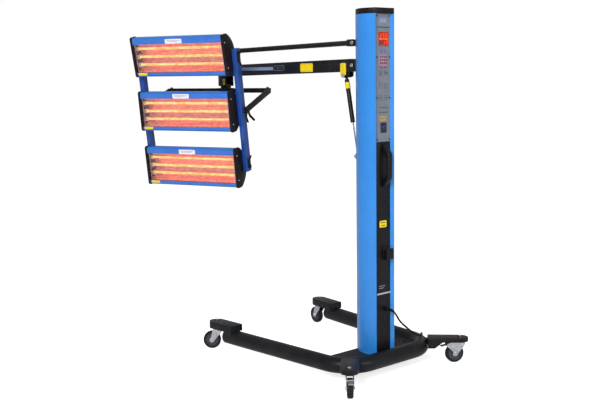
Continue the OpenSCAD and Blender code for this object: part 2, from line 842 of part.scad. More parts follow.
module strut_foot() {
    face = -column_half - mount_t;
    color(black) {
        translate([face, -mount_w / 2, strut_foot_z - 40]) cube([mount_t, mount_w, 80]);
        for (s = [1, -1]) translate([0, s * (lug_t / 2 - foot_lug_t / 2), 0])
            side_plate([[face, strut_foot_z - 26], [face, strut_foot_z + 26],
                [-strut_foot_x - 9, strut_foot_z + 9], [-strut_foot_x - 9, strut_foot_z - 9]], foot_lug_t);
    }
    color(steel) pin_y(-strut_foot_x, strut_foot_z, strut_pin_d, lug_t + 6);
}

// The arm's own frame: its pivot is the origin and the arm lies along -X
module arm_frame(up = 0) {
    translate([-arm_pivot_x, 0, arm_pivot_z + up]) rotate([0, -arm_fall, 0]) children();
}

// Box tube with rounded ends, open above and below at each end for the lugs
module beam() {
    end_r = beam_h / 2;
    color(black) arm_frame() difference() {
        translate([0, beam_w / 2, 0]) rotate([90, 0, 0]) linear_extrude(beam_w) union() {
            translate([-arm_len, -end_r]) square([arm_len, beam_h]);
            circle(r = end_r);
            translate([-arm_len, 0]) circle(r = end_r);
        }
        translate([-arm_len - beam_h, beam_wall - beam_w / 2, beam_wall - end_r])
            cube([arm_len + 2 * beam_h, beam_w - 2 * beam_wall, beam_h - 2 * beam_wall]);
        for (x = [-beam_relief, -arm_len - beam_h]) translate([x, beam_wall - beam_w / 2, -beam_h])
            cube([beam_relief + beam_h, beam_w - 2 * beam_wall, 2 * beam_h]);
        for (x = [0, -arm_len]) pin_y(x, 0, pin_d + 2 * run, beam_w + 2 * cut);
    }
}

// Ears under the beam that hold the strut's upper pin, with a plate up each side
module strut_bracket() {
    plate_w = 40;
    color(black) difference() {
        union() {
            for (s = [1, -1]) translate([0, s * (clevis_w - clevis_t) / 2, 0])
                side_plate([[-strut_top_x - 15, strut_top_z + 22], [-strut_top_x + 36, strut_top_z + 22],
                    [-strut_top_x + 32, strut_top_z - 4], [-strut_top_x + 9, strut_top_z - 9],
                    [-strut_top_x - 9, strut_top_z - 9]], clevis_t);
        }
        arm_frame() translate([-arm_len, -beam_w / 2 - seat, -beam_h / 2 - seat])
            cube([2 * arm_len, beam_w + 2 * seat, beam_h]);
    }
    color(yellow) for (s = [1, -1]) translate([0, s * (beam_w / 2 + seat + side_plate_t / 2), 0])
        side_plate([[-strut_top_x - 19, strut_top_z + 4], [-strut_top_x + 19, strut_top_z + 4],
                [-strut_top_x + 19, strut_top_z + 56], [-strut_top_x + 13, strut_top_z + 60],
                [-strut_top_x - 13, strut_top_z + 60], [-strut_top_x - 19, strut_top_z + 56]], side_plate_t);
    color(black) for (s = [1, -1]) translate([-strut_top_x, s * (beam_w / 2 + seat + side_plate_t), strut_top_z + 33])
        rotate([-s * 90, 0, 0]) cylinder(d = 12, h = 5, $fn = 6);
    color(steel) pin_y(-strut_top_x, strut_top_z, strut_pin_d, beam_w + 8);
    color(black) for (s = [1, -1]) translate([0, s * (beam_w / 2 + seat + side_plate_t / 2), 0])
        side_plate([[-strut_top_x - 11, strut_top_z - 8], [-strut_top_x + 11, strut_top_z - 8],
            [-strut_top_x + 11, strut_top_z + 4], [-strut_top_x - 11, strut_top_z + 4]], side_plate_t);
}

// Rod with a forked eye at each end
module upper_rod() {
    color(black) arm_frame(link_gap) difference() {
        union() {
            translate([-rod_neck, 0, 0]) rotate([0, -90, 0]) cylinder(d = rod_d, h = arm_len - 2 * rod_neck);
            for (x = [0, -arm_len]) pin_y(x, 0, 2 * rod_eye_r, rod_eye_w);
            for (x = [-rod_neck, -arm_len]) translate([x, -rod_eye_w / 2, -rod_eye_r])
                cube([rod_neck, rod_eye_w, 2 * rod_eye_r]);
        }
        for (x = [rod_gap - rod_neck, -arm_len - rod_eye_r - cut])
            translate([x, -lug_t / 2 - seat * 2, -rod_eye_r - cut])
            cube([rod_neck + rod_eye_r + cut - rod_gap, lug_t + seat * 4, 2 * rod_eye_r + 2 * cut]);
        for (x = [0, -arm_len]) pin_y(x, 0, pin_d + 2 * run, rod_eye_w + 2 * cut);
    }
}

// The strut's frame: origin at the lower pin, +Z along the strut
module strut_frame(along = 0) {
    translate([-strut_foot_x, 0, strut_foot_z]) rotate([0, -strut_lean, 0]) translate([0, 0, along]) children();
}

module strut_cylinder() {
    bore = strut_d - 2 * strut_wall;
    color(black) strut_frame(strut_span) difference() {
        union() {
            pin_y(0, 0, strut_eye_d, clevis_w - 2 * clevis_t - 2 * seat);
            translate([-strut_slip, 0, -strut_body]) cylinder(d = strut_d, h = strut_body - strut_neck);
            translate([-strut_slip, 0, -strut_neck - cut]) cylinder(d = strut_d * 0.6, h = strut_neck);
        }
        translate([-strut_slip, 0, -strut_body - cut]) cylinder(d = bore, h = strut_body - strut_neck - strut_d / 2);
        pin_y(0, 0, strut_pin_d + 2 * run, 2 * clevis_w);
    }
}

module strut_rod() {
    color(steel) strut_frame() difference() {
        union() {
            pin_y(0, 0, strut_eye_d - 2, lug_t - 2 * foot_lug_t - 2 * seat);
            cylinder(d = strut_rod_d, h = strut_reach);
            cylinder(d = strut_rod_d, h = strut_eye_d);
        }
        pin_y(0, 0, strut_pin_d + 2 * run, 2 * lug_t);
    }
}

// Channel that the arm's ends enter from the column's side, with a floor for the swivel
module head_box() {
    back = -head_pivot_x - beam_h / 2 - 14;
    color(black) difference() {
        translate([back, -head_w / 2, head_low]) cube([head_len, head_w, head_top - head_low]);
        translate([back + head_wall, head_wall - head_w / 2, head_low + head_floor])
            cube([head_len, head_w - 2 * head_wall, head_top - head_low - head_floor - head_wall]);
        translate([-head_x, 0, head_low - cut]) cylinder(d = spindle_d + 2 * run, h = head_floor + 2 * cut);
    }
    color(steel) {
        pin_y(-head_pivot_x, head_pivot_z, pin_d, head_w + 2 * pin_over);
        pin_y(-head_pivot_x, head_pivot_z + link_gap, pin_d, head_w + 2 * pin_over);
    }
}

// The head's turned frame: +X is the way the lamps face, +Y runs along them
module turned() {
    translate([-head_x, 0, 0]) rotate([0, 0, head_turn]) children();
}

// Spindle, tongue, bar and the two arms that reach down to the panel's pivots
module yoke() {
    drop = yoke_z - panel_z;
    tongue_z = yoke_z + yoke_bar / 2;
    color(black) turned() difference() {
        union() {
            cylinder_from(tongue_z, head_low - seat, flange_d);
            cylinder_from(tongue_z, head_low + head_floor + 2, spindle_d);
            cylinder_from(head_low + head_floor + seat, head_low + head_floor + 6, spindle_d + 9);
            translate([-flange_d / 2, -tongue_plate_w / 2, tongue_z - tongue_plate_t])
                cube([yoke_ahead + flange_d / 2, tongue_plate_w, tongue_plate_t]);
            translate([yoke_ahead - yoke_bar / 2, -yoke_outer, yoke_z - yoke_bar / 2])
                cube([yoke_bar, 2 * yoke_outer, yoke_bar]);
            for (s = [1, -1]) translate([0, s * (yoke_inner + yoke_arm_t / 2), 0]) {
                side_plate([[yoke_ahead - yoke_bar / 2, yoke_z + yoke_bar / 2],
                    [yoke_ahead + yoke_bar / 2, yoke_z + yoke_bar / 2],
                    [panel_ahead + 6, panel_z + yoke_arm_h / 2 - 1], [panel_ahead - 6, panel_z - yoke_arm_h / 2 + 1],
                    [yoke_ahead - yoke_bar / 2, yoke_z - yoke_bar / 2]], yoke_arm_t);
                pin_y(panel_ahead, panel_z, yoke_arm_h, yoke_arm_t);
            }
            for (s = [1, -1]) translate([yoke_ahead, s * (yoke_outer - 14), yoke_z + yoke_bar / 2])
                cylinder(d = 14, h = 6, $fn = 6);
        }
        for (s = [1, -1]) pin_bore(panel_ahead, s * (yoke_inner + yoke_arm_t / 2), panel_z, yoke_pin_d, yoke_arm_t * 2);
    }
}

module pin_bore(x, y, z, d, len) {
    translate([0, y, 0]) pin_y(x, z, d + 2 * run, len);
}

// The lamp panel's frame: origin on its pivot, +X ahead, +Z up along the rails
module panel_frame() {
    turned() translate([panel_ahead, 0, panel_z]) rotate([0, panel_tilt, 0]) children();
}

// Two box-tube rails with the pins that the yoke's arms turn on
module frame_rails() {
    color(blue) panel_frame() mirrored_pair() difference() {
        translate([-rail_deep / 2, rail_inner, -rail_half]) cube([rail_deep, rail_w, 2 * rail_half]);
        translate([rail_wall - rail_deep / 2, rail_inner + rail_wall, -rail_half - cut])
            cube([rail_deep - 2 * rail_wall, rail_w - 2 * rail_wall, 2 * rail_half + 2 * cut]);
        for (k = lamp_places) pin_bore(0, rail_inner, k * lamp_pitch, lamp_pin_d, 3 * rail_w);
    }
    color(black) panel_frame() mirrored_pair() for (s = [1, -1])
        translate([rail_wall - rail_deep / 2 + seat, rail_inner + rail_wall + seat,
            s > 0 ? rail_half - plug_in / 2 : -rail_half])
        cube([rail_deep - 2 * rail_wall - 2 * seat, rail_w - 2 * rail_wall - 2 * seat, plug_in / 2]);
    color(steel) panel_frame() mirrored_pair() difference() {
        translate([0, rail_outer + seat, 0]) rotate([-90, 0, 0]) {
            cylinder(d = yoke_pin_d, h = yoke_outer + clamp_t - rail_outer);
            cylinder(d = yoke_pin_d + collar, h = yoke_gap - 2 * seat);
        }
        pin_bore(0, rail_outer, 0, lamp_pin_d, 4 * rail_w);
    }
}

// Clamp lever: a hub round the pivot's end and a cranked handle, in the frame of the pivot
module clamp_lever(d, turn) {
    color(black) rotate([0, turn, 0]) difference() {
        union() {
            rotate([-90, 0, 0]) cylinder(d = clamp_d, h = clamp_t);
            rotate([-90, 0, 0]) linear_extrude(clamp_t) polygon([[0, clamp_h / 2], [clamp_len * 0.55, clamp_h / 2 - 1],
                [clamp_len * 0.55, 1 - clamp_h / 2], [0, -clamp_h / 2]]);
            linear_extrude_x(clamp_h - 2) polygon([[clamp_len * 0.45, 0], [clamp_len * 0.55, 0],
                [clamp_len, clamp_t * 2.4], [clamp_len, clamp_t * 3.2], [clamp_len * 0.92, clamp_t * 3.2],
                [clamp_len * 0.45, clamp_t]]);
        }
        translate([0, -cut, 0]) rotate([-90, 0, 0]) cylinder(d = d + 2 * run, h = clamp_t + 2 * cut);
    }
}

// Extrudes an x y outline evenly up and down
module linear_extrude_x(h) {
    translate([0, 0, -h / 2]) linear_extrude(h) children();
}

module yoke_lever_near() {
    panel_frame() translate([0, yoke_outer + seat, 0]) clamp_lever(yoke_pin_d, near_lever_turn);
}

module yoke_lever_far() {
    panel_frame() mirror([0, 1, 0]) translate([0, yoke_outer + seat, 0]) clamp_lever(yoke_pin_d, far_lever_turn);
}

// A cassette's frame: origin on its pivot, +X ahead and tilted as it is clamped
module lamp_frame(i) {
    panel_frame() translate([0, 0, lamp_places[i] * lamp_pitch]) rotate([0, lamp_tilts[i], 0]) children();
}

// Outline of a cassette's section, from its low front corner round the back, inset by a wall
function back_arc(inset) = [for (i = [0:back_steps]) let (a = 180 + back_half - 2 * back_half * i / back_steps)
    [back_x + (back_r - inset) * cos(a), lamp_up + (back_r - inset) * sin(a)]];
function lamp_outline(inset) = concat([[lamp_front, lamp_up - lamp_h / 2 + inset]], back_arc(inset),
    [[lamp_front, lamp_up + lamp_h / 2 - inset]]);

// Extrudes an x z outline along y between two places
module along_y(from, to) {
    translate([0, to, 0]) rotate([90, 0, 0]) linear_extrude(to - from) children();
}

// Aluminium shell, open at the front between its two flanges
module housing(i) {
    top = lamp_up + lamp_h / 2;
    low = lamp_up - lamp_h / 2;
    color(blue) lamp_frame(i) difference() {
        along_y(-lamp_len / 2, lamp_len / 2) difference() {
            polygon(concat([[lamp_front - flange_bevel, low], [lamp_front, low + flange_bevel],
                [lamp_front, low + low_flange], [lamp_front - lamp_wall, low + low_flange],
                [lamp_front - lamp_wall, low + flange_bevel + 1], [lamp_front - flange_bevel - 1, low + lamp_wall]],
                back_arc(lamp_wall),
                [[lamp_front - flange_bevel - 1, top - lamp_wall], [lamp_front - lamp_wall, top - flange_bevel - 1],
                [lamp_front - lamp_wall, top - top_flange], [lamp_front, top - top_flange],
                [lamp_front, top - flange_bevel], [lamp_front - flange_bevel, top]], backward(back_arc(0))));
        }
        for (k = [-3:3]) for (z = [0, 1]) translate([lamp_front - lamp_depth - cut, k * 70 - 22, lamp_up - 26 + z * 40])
            cube([12, 44, 6]);
    }
}

// End caps, a little proud of the shell all round, with the pins that the rails hold
module caps(i) {
    proud = 3;
    color(black) lamp_frame(i) mirrored_pair() {
        difference() {
            translate([0, lamp_len / 2, 0]) along_y(0, cap_t) union() {
                polygon(concat([[lamp_front + proud - flange_bevel, lamp_up - lamp_h / 2 - proud]], back_arc(-proud),
                    [[lamp_front + proud - flange_bevel, lamp_up + lamp_h / 2 + proud],
                    [lamp_front + proud, lamp_up + lamp_h / 2 + proud - flange_bevel],
                    [lamp_front + proud, lamp_up - lamp_h / 2 - proud + flange_bevel]]));
            }
        }
        translate([0, lamp_len / 2 + cap_t, 0]) rotate([-90, 0, 0])
            cylinder(d = lamp_pin_d, h = lever_seat(i) + clamp_t + 2 - lamp_len / 2 - cap_t);
    }
}

// Mirror with a curved back, the quartz tubes and their ceramic holders
module emitter(i) {
    mirror_half = lamp_len / 2 - seat;
    color("#d9b98a") lamp_frame(i) along_y(-mirror_half, mirror_half) polygon(concat(mirror_arc(0), backward(mirror_arc(mirror_t))));
    color("#ff9c3c") lamp_frame(i) for (z = quartz_places) translate([quartz_x, mirror_half - quartz_over + cut, z])
        rotate([90, 0, 0]) cylinder(d = quartz_d, h = 2 * (mirror_half - quartz_over) + 2 * cut);
    color("#e6e2d6") lamp_frame(i) for (z = quartz_places, s = [1, -1])
        translate([quartz_x - holder_d / 2, s * (mirror_half - quartz_over / 2) - quartz_over / 2, z - holder_d / 2])
        cube([holder_d, quartz_over, holder_d]);
}
function mirror_arc(inset) = [for (i = [-8:8]) let (u = i / 8)
    [lamp_front - 14 - (mirror_deep - inset) * (1 - u * u * u * u), lamp_up - 5 + u * (mirror_half_h - inset)]];

// Wire guard behind the opening
module grille(i) {
    w = lamp_len - 2 * seat;
    top = lamp_up + lamp_h / 2 - flange_bevel - 6;
    low = lamp_up - lamp_h / 2 + flange_bevel + 6;
    h = top - low;
    color(steel) lamp_frame(i) translate([lamp_front - mesh_back - lamp_wall, 0, 0]) rotate([90, 0, 90])
        linear_extrude(mesh_t) translate([-w / 2, low]) difference() {
            square([w, h]);
            for (c = [0:mesh_cols - 1], r = [0:mesh_rows - 1])
                translate([mesh_edge + c * (w - 2 * mesh_edge) / mesh_cols + mesh_bar / 2,
                    mesh_edge + r * (h - 2 * mesh_edge) / mesh_rows + mesh_bar / 2])
                square([(w - 2 * mesh_edge) / mesh_cols - mesh_bar, (h - 2 * mesh_edge) / mesh_rows - mesh_bar]);
        }
}

// The middle cassette's lever sits outside the yoke's, on the same pivot
function lever_seat(i) = lamp_places[i] == 0 ? yoke_outer + clamp_t + 2 * seat : rail_outer + seat;
module lamp_lever(i) {
    lamp_frame(i) translate([0, lever_seat(i), 0]) clamp_lever(lamp_pin_d, lever_turns[i]);
}

// Points of the cord smoothed through the hand-chosen ones
function spline(a, b, c, d, t) = 0.5 * (2 * b + (c - a) * t + (2 * a - 5 * b + 4 * c - d) * t * t
    + (3 * b - a - 3 * c + d) * t * t * t);
function smooth(p, n) = concat([for (i = [0:len(p) - 2], k = [0:n - 1])
    spline(p[max(i - 1, 0)], p[i], p[i + 1], p[min(i + 2, len(p) - 1)], k / n)], [p[len(p) - 1]]);

// A ring of points square to the path at one of its points
function unit(v) = v / norm(v);
function heading(p, i) = unit(p[min(i + 1, len(p) - 1)] - p[max(i - 1, 0)]);
function ring(c, t, r, sides) = let (side = unit(cross([0, 0, 1], t)), up = cross(t, side))
    [for (k = [0:sides - 1]) c + r * (cos(360 * k / sides) * side + sin(360 * k / sides) * up)];

// A closed tube swept along a path
module tube(path, r, sides) {
    n = len(path);
    points = [for (i = [0:n - 1]) each ring(path[i], heading(path, i), r, sides)];
    walls = [for (i = [0:n - 2], k = [0:sides - 1]) let (a = i * sides + k, b = i * sides + (k + 1) % sides)
        each [[a, a + sides, b], [b, a + sides, b + sides]]];
    first = [for (k = [1:sides - 2]) [0, k, k + 1]];
    last = [for (k = [1:sides - 2]) [(n - 1) * sides, (n - 1) * sides + k + 1, (n - 1) * sides + k]];
    polyhedron(points, concat(walls, first, last));
}

module cord() {
    color(black) tube(smooth(cord_points, cord_steps), cord_d / 2, cord_sides);
}

// The coil winds in and out again, a layer at a time, and ends low outside the last layer
turns = layer_turns * layers + last_turns;
function fold(u) = let (v = u % (2 * layer_turns)) v < layer_turns ? v : 2 * layer_turns - v;
function coil_radius(u) = u <= layer_turns * layers ? coil_r - coil_pitch * fold(u)
    : coil_r + coil_pitch * (u - layer_turns * layers);
function ramp(x) = min(max(x, 0), 1);
function coil_height(u) = let (level = ramp((u - layer_turns) * 2 + 0.5) + ramp((u - 2 * layer_turns) * 2 + 0.5)
    + ramp((u - 3 * layer_turns) * 2 + 0.5) - (layers - 1 - last_level) * ramp((u - turns + 0.6) * 2))
    coil_low + coil_rise * level;
function coil_point(u) = let (a = -90 - 360 * u, r = coil_radius(u))
    [coil_x + r * cos(a), coil_y + r * sin(a), coil_height(u)];
coil_body = [for (i = [0:turns * rings_per_turn]) coil_point(i / rings_per_turn)];
coil_end = coil_body[len(coil_body) - 1];
coil_path = concat([coil_body[0] + [cord_d, 0, 0]], coil_body, [coil_end + [0, coil_tail, 0]]);
coil_gap = min([for (i = [0:len(coil_body) - 1], j = [i + rings_per_turn / 2:1:len(coil_body) - 1])
    norm(coil_body[i] - coil_body[j])]) - cord_d;
echo(least_gap_of_the_coil = coil_gap);

module cord_coil() {
    color(black) tube(coil_path, cord_d / 2, coil_sides);
}

// Two-pin plug lying on the floor at the coil's end
module plug() {
    end = coil_end + [0, coil_tail, 0];
    color(black) translate(end) rotate([-90, 0, 0]) {
        cylinder(d = cord_d + 4, h = plug_neck);
        translate([-plug_w / 2, -plug_h / 2, plug_neck]) cube([plug_w, plug_h, plug_body]);
    }
    color(steel) for (s = [1, -1]) translate(end + [s * prong_gap / 2, plug_neck + plug_body, 0]) rotate([-90, 0, 0])
        cylinder(d = prong_d, h = prong_len);
}

base_tube();
base_plate();
rear_arms();
leg_tongues();
caster_stems();
column();
column_cap();
control_panel();
display_window();
panel_screws();
rear_cover();
lower_cover();
trim_strip();
pull_handle();
cable_hook();
switch_frame();
switch_rocker();
cable_gland();
control_board();
power_unit();
arm_bracket();
strut_foot();
beam();
strut_bracket();
upper_rod();
strut_cylinder();
strut_rod();
head_box();
yoke();
frame_rails();
yoke_lever_near();
yoke_lever_far();
housing(0);  // housing_top
caps(0);  // caps_top
emitter(0);  // emitter_top
grille(0);  // grille_top
lamp_lever(0);  // lever_top
housing(1);  // housing_middle
caps(1);  // caps_middle
emitter(1);  // emitter_middle
grille(1);  // grille_middle
lamp_lever(1);  // lever_middle
housing(2);  // housing_bottom
caps(2);  // caps_bottom
emitter(2);  // emitter_bottom
grille(2);  // grille_bottom
lamp_lever(2);  // lever_bottom
place_fork(0, true) fork(true);  // fork_rear_near
place_fork(0, true) wheel();  // wheel_rear_near
place_fork(1, true) fork(true);  // fork_rear_far
place_fork(1, true) wheel();  // wheel_rear_far
place_fork(0, false) fork(false);  // fork_front_near
place_fork(0, false) wheel();  // wheel_front_near
place_fork(1, false) fork(false);  // fork_front_far
place_fork(1, false) wheel();  // wheel_front_far
place_fork(0, true) pedal();  // pedal_near
place_fork(1, true) pedal();  // pedal_far
cord();
cord_coil();
plug();
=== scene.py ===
# %% [markdown]
# A short-wave infrared dryer stands in a paint shop and cures fresh filler or paint with its heat.
# This notebook dresses its construction model: it loads the finished solids, gives each one the
# surface that the real piece has, and adds the small pieces that a drawing of the structure leaves
# out, such as key foil, labels, bolts, the wire guards and the mains cord.

# %% The construction model
import json
import math

import bmesh
import bpy
from mathutils import Matrix, Vector

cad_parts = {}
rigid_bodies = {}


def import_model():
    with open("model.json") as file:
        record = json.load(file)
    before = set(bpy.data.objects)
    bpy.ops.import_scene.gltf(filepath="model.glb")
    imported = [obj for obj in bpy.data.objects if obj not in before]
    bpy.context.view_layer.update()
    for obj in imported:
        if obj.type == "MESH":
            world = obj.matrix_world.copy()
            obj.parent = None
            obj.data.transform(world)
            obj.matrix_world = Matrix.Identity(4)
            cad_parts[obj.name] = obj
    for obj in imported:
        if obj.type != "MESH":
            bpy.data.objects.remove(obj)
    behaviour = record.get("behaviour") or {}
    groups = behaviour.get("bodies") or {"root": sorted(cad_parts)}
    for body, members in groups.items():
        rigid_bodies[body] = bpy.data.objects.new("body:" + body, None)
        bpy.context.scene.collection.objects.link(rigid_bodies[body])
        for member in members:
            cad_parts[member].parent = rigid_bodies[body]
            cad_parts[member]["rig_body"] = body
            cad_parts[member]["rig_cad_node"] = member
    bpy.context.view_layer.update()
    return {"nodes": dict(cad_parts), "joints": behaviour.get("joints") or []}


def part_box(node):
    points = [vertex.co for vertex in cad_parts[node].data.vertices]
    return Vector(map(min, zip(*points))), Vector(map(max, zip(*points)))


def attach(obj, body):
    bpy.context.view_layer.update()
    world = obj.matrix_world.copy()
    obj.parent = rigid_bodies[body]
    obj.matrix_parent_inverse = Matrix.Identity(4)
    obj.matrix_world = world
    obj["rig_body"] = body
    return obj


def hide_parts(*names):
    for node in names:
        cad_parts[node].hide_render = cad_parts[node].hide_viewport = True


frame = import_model()
MM = 0.001
joints = {j["name"]: j for j in frame["joints"]}

# %% [markdown]
# The photograph was taken from the operator's side, a little above the middle of the machine, with a
# lens longer than normal. The camera's place and its three turns were fitted to straight edges whose
# real places are known, the column's corners and the cassettes' fronts, so it is set from angles.

# %% Camera
LENS_MM = 57.5
CAMERA_PLACE = Vector((3.1734, -3.1778, 1.4223))
yaw, pitch, roll = (math.radians(a) for a in (49.38, 7.68, -0.779))
ahead = Vector((-math.sin(yaw) * math.cos(pitch), math.cos(yaw) * math.cos(pitch), -math.sin(pitch)))
level = Vector((math.cos(yaw), math.sin(yaw), 0))
upright = level.cross(ahead)
across = math.cos(roll) * level + math.sin(roll) * upright
upward = -math.sin(roll) * level + math.cos(roll) * upright
camera_data = bpy.data.cameras.new("photograph")
camera_data.lens = LENS_MM
camera = bpy.data.objects.new("photograph", camera_data)
bpy.context.scene.collection.objects.link(camera)
bpy.context.scene.camera = camera
camera_turn = Matrix((across, upward, -ahead)).transposed().to_4x4()
camera.matrix_world = Matrix.Translation(CAMERA_PLACE) @ camera_turn
print("camera looks along", ahead)

# %% [markdown]
# Every material below starts from three numbers that the eye knows well: the colour under white light,
# how blurred a reflection is, and whether the surface is bare metal. Paint and plastic also have a grain,
# so each one gets a cloudy change of colour and gloss and a fine bump, at sizes in real millimetres.

# %% Helpers for finishes
def linear(colour):
    """A colour written as sRGB hex, as linear values that the shader takes."""
    parts = [int(colour[i:i + 2], 16) / 255 for i in (1, 3, 5)]
    # The sRGB standard's curve: a straight piece near black, then a power
    return tuple(p / 12.92 if p <= 0.04045 else ((p + 0.055) / 1.055) ** 2.4 for p in parts) + (1.0,)


def add(tree, kind, values=(), links=(), **settings):
    """Adds one node, sets its options and its sockets, and links sockets to other nodes' outputs."""
    node = tree.nodes.new("ShaderNode" + kind)
    for name, value in settings.items():
        setattr(node, name, value)
    for name, value in dict(values).items():
        node.inputs[name].default_value = value
    for name, source in dict(links).items():
        tree.links.new(source, node.inputs[name])
    return node


def start_finish(name, **sockets):
    """A new material with its shader, whose sockets are set from the keywords."""
    made = bpy.data.materials.new(name)
    made.use_nodes = True
    shader = made.node_tree.nodes["Principled BSDF"]
    for socket, value in sockets.items():
        shader.inputs[socket.replace("_", " ")].default_value = value
    return made, made.node_tree, shader


print("helpers for finishes ready")

# %% [markdown]
# No real surface has one flat colour. A slow noise mixes two close colours and two degrees of gloss, and a
# fine noise lifts the surface a little, so that a highlight breaks up as it does on the real piece.

# %% Clouds and grain
def two_colours(tree, noise, first, second, half_width):
    """A ramp between two colours round the middle of a noise; the narrower, the harder its edges."""
    blend = add(tree, "ValToRGB", (), {"Fac": noise.outputs["Fac"]})
    places = (0.5 - half_width, 0.5 + half_width)
    for end, colour, place in zip(blend.color_ramp.elements, (first, second), places):
        end.color, end.position = linear(colour), place
    return blend


CLOUD_WIDTH, CLOUD_DETAIL, GRAIN_DETAIL, GRAIN_STRENGTH = 0.15, 4.0, 2.0, 0.6


def surface(name, light, dark, rough, cloud_mm, grain_mm, grain_depth_mm, stretch=(1, 1, 1), **sockets):
    """A finish with clouds between two colours, gloss that changes with them, and a fine grain."""
    made, tree, shader = start_finish(name, **sockets)
    place = add(tree, "TexCoord")
    turned = add(tree, "Mapping", {"Scale": stretch}, {"Vector": place.outputs["Object"]})
    cloud = add(tree, "TexNoise", {"Scale": 1 / (cloud_mm * MM), "Detail": CLOUD_DETAIL},
                {"Vector": turned.outputs["Vector"]})
    blend = two_colours(tree, cloud, dark, light, CLOUD_WIDTH)
    gloss = add(tree, "MapRange", {"To Min": rough[0], "To Max": rough[1]}, {"Value": cloud.outputs["Fac"]})
    grain = add(tree, "TexNoise", {"Scale": 1 / (grain_mm * MM), "Detail": GRAIN_DETAIL},
                {"Vector": turned.outputs["Vector"]})
    bump = add(tree, "Bump", {"Strength": GRAIN_STRENGTH, "Distance": grain_depth_mm * MM},
               {"Height": grain.outputs["Fac"]})
    tree.links.new(blend.outputs["Color"], shader.inputs["Base Color"])
    tree.links.new(gloss.outputs["Result"], shader.inputs["Roughness"])
    tree.links.new(bump.outputs["Normal"], shader.inputs["Normal"])
    return made


print("finishes with clouds and grain can be made")

# %% [markdown]
# The stand is mild steel under baked powder. Powder melts into a skin like an orange's peel, so the
# black parts have a soft, broken highlight. The column and the cassettes are extruded aluminium under
# the same kind of powder in blue, smoother because the metal under it is smoother.

# %% Painted metals
# Black polyester powder on steel: satin, with a peel about a millimetre wide
powder_black = surface("powder_coat_black", "#1b1c20", "#111215", (0.3, 0.44), 60, 1.2, 0.05,
                       Specular_IOR_Level=0.2)
# The same powder where hands and shoes have dulled it
powder_worn = surface("powder_coat_worn_black", "#25262a", "#17181a", (0.5, 0.68), 25, 1.2, 0.06,
                      Specular_IOR_Level=0.2)
# Brown-black paint on the caster arms, brushed on over the weld
paint_brown = surface("brushed_paint_brown_black", "#201a19", "#130f10", (0.3, 0.5), 30, 2.5, 0.06,
                      Specular_IOR_Level=0.2)
# Blue powder on the extruded column: even, half gloss
powder_blue = surface("powder_coat_blue", "#2c86da", "#2880d2", (0.3, 0.36), 140, 1.4, 0.015)
# Deeper blue on the rack's steel rails
powder_deep_blue = surface("powder_coat_deep_blue", "#17499a", "#13418c", (0.3, 0.4), 70, 1.2, 0.03)
# Blue on the cassettes' shells, extruded and painted
lamp_blue = surface("powder_coat_lamp_blue", "#3474cc", "#2d6bc2", (0.26, 0.36), 80, 1.0, 0.015)
# Safety yellow enamel on the bracket's side plates
enamel_yellow = surface("enamel_safety_yellow", "#e9cf25", "#d9bd16", (0.3, 0.45), 18, 1.5, 0.02)

# %% [markdown]
# Bare metal has no colour of its own under its gloss: what the eye reads is the tint of its reflections and
# how blurred they are. Plating leaves a faint spangle, brushing draws streaks along the piece, and the
# guards' stainless wire is given a pinkish tint, so each metal here differs in tint, in gloss and in the size
# of its grain.

# %% Bare metals
# Bright zinc on the pressed forks and the bolts, with the faint spangle that plating leaves
zinc = surface("zinc_plate_bright", "#d3d5d8", "#a9acb2", (0.2, 0.34), 9, 1.2, 0.02, Metallic=1.0)
# Hard chrome on the strut's rod, ground smooth, so its reflections are sharp
chrome = surface("hard_chrome", "#e4e6ea", "#d3d6db", (0.06, 0.12), 30, 0.8, 0.003, Metallic=1.0)
# Blackened steel of the panel's screws and rule, dull and dark
screw_black = surface("blackened_steel", "#2b2d31", "#1d1e21", (0.3, 0.45), 4, 0.5, 0.02, Metallic=1.0)
# Anodised trim, brushed along its length
anodised = surface("anodised_aluminium_brushed", "#e2ddec", "#c9c4d6", (0.2, 0.3), 40, 1.5, 0.02,
                   (1, 0.06, 1), Metallic=1.0)
# Nickel on the plug's pins, warmer than chrome
nickel = surface("nickel_plate", "#cfc9bd", "#bcb6aa", (0.16, 0.28), 6, 0.6, 0.004, Metallic=1.0)
# Stainless wire of the guards, with a pinkish tint
wire = surface("stainless_wire", "#d8c6c4", "#b8a3a2", (0.2, 0.34), 5, 0.7, 0.01, Metallic=1.0)

# %% [markdown]
# Mouldings take their grain from the mould: a fine etched bump and a middling gloss. Rubber is rougher and
# a little greyer, foil and vinyl are flat films, and alumina is a pale matt ceramic.

# %% Plastics and rubber
# Moulded ABS with an etched grain: cap, covers, handle, hook
abs_black = surface("abs_moulded_black", "#151418", "#0d0c0f", (0.36, 0.52), 22, 0.7, 0.04,
                    Specular_IOR_Level=0.2)
# End caps of the cassettes, glass-filled nylon browned by the heat
nylon_warm = surface("nylon_glass_filled_brown_black", "#1d1012", "#11090b", (0.34, 0.5), 26, 0.8, 0.03,
                     Specular_IOR_Level=0.2)
# Cast rubber of the tyres
tyre_rubber = surface("rubber_moulded_black", "#232325", "#161617", (0.62, 0.8), 8, 0.9, 0.08,
                      Specular_IOR_Level=0.2)
# Grey nylon of the wheels' hubs
hub_grey = surface("nylon_moulded_grey", "#44484e", "#33363b", (0.4, 0.55), 10, 0.8, 0.03)
# Soft PVC of the cord and the plug
pvc_black = surface("pvc_soft_black", "#17171a", "#0f0f11", (0.42, 0.55), 12, 0.6, 0.02,
                    Specular_IOR_Level=0.2)
# Printed polyester foil on the panel
foil_grey = surface("polyester_foil_grey", "#737983", "#6b717b", (0.42, 0.5), 35, 0.6, 0.01)
# Glazed board of the electronics
board_green = surface("glass_epoxy_green", "#2d7a52", "#1f5b3c", (0.25, 0.4), 6, 0.8, 0.02)
# Alumina of the tube holders
ceramic = surface("alumina_ceramic", "#ece6da", "#d9d0c0", (0.5, 0.65), 5, 0.6, 0.03)
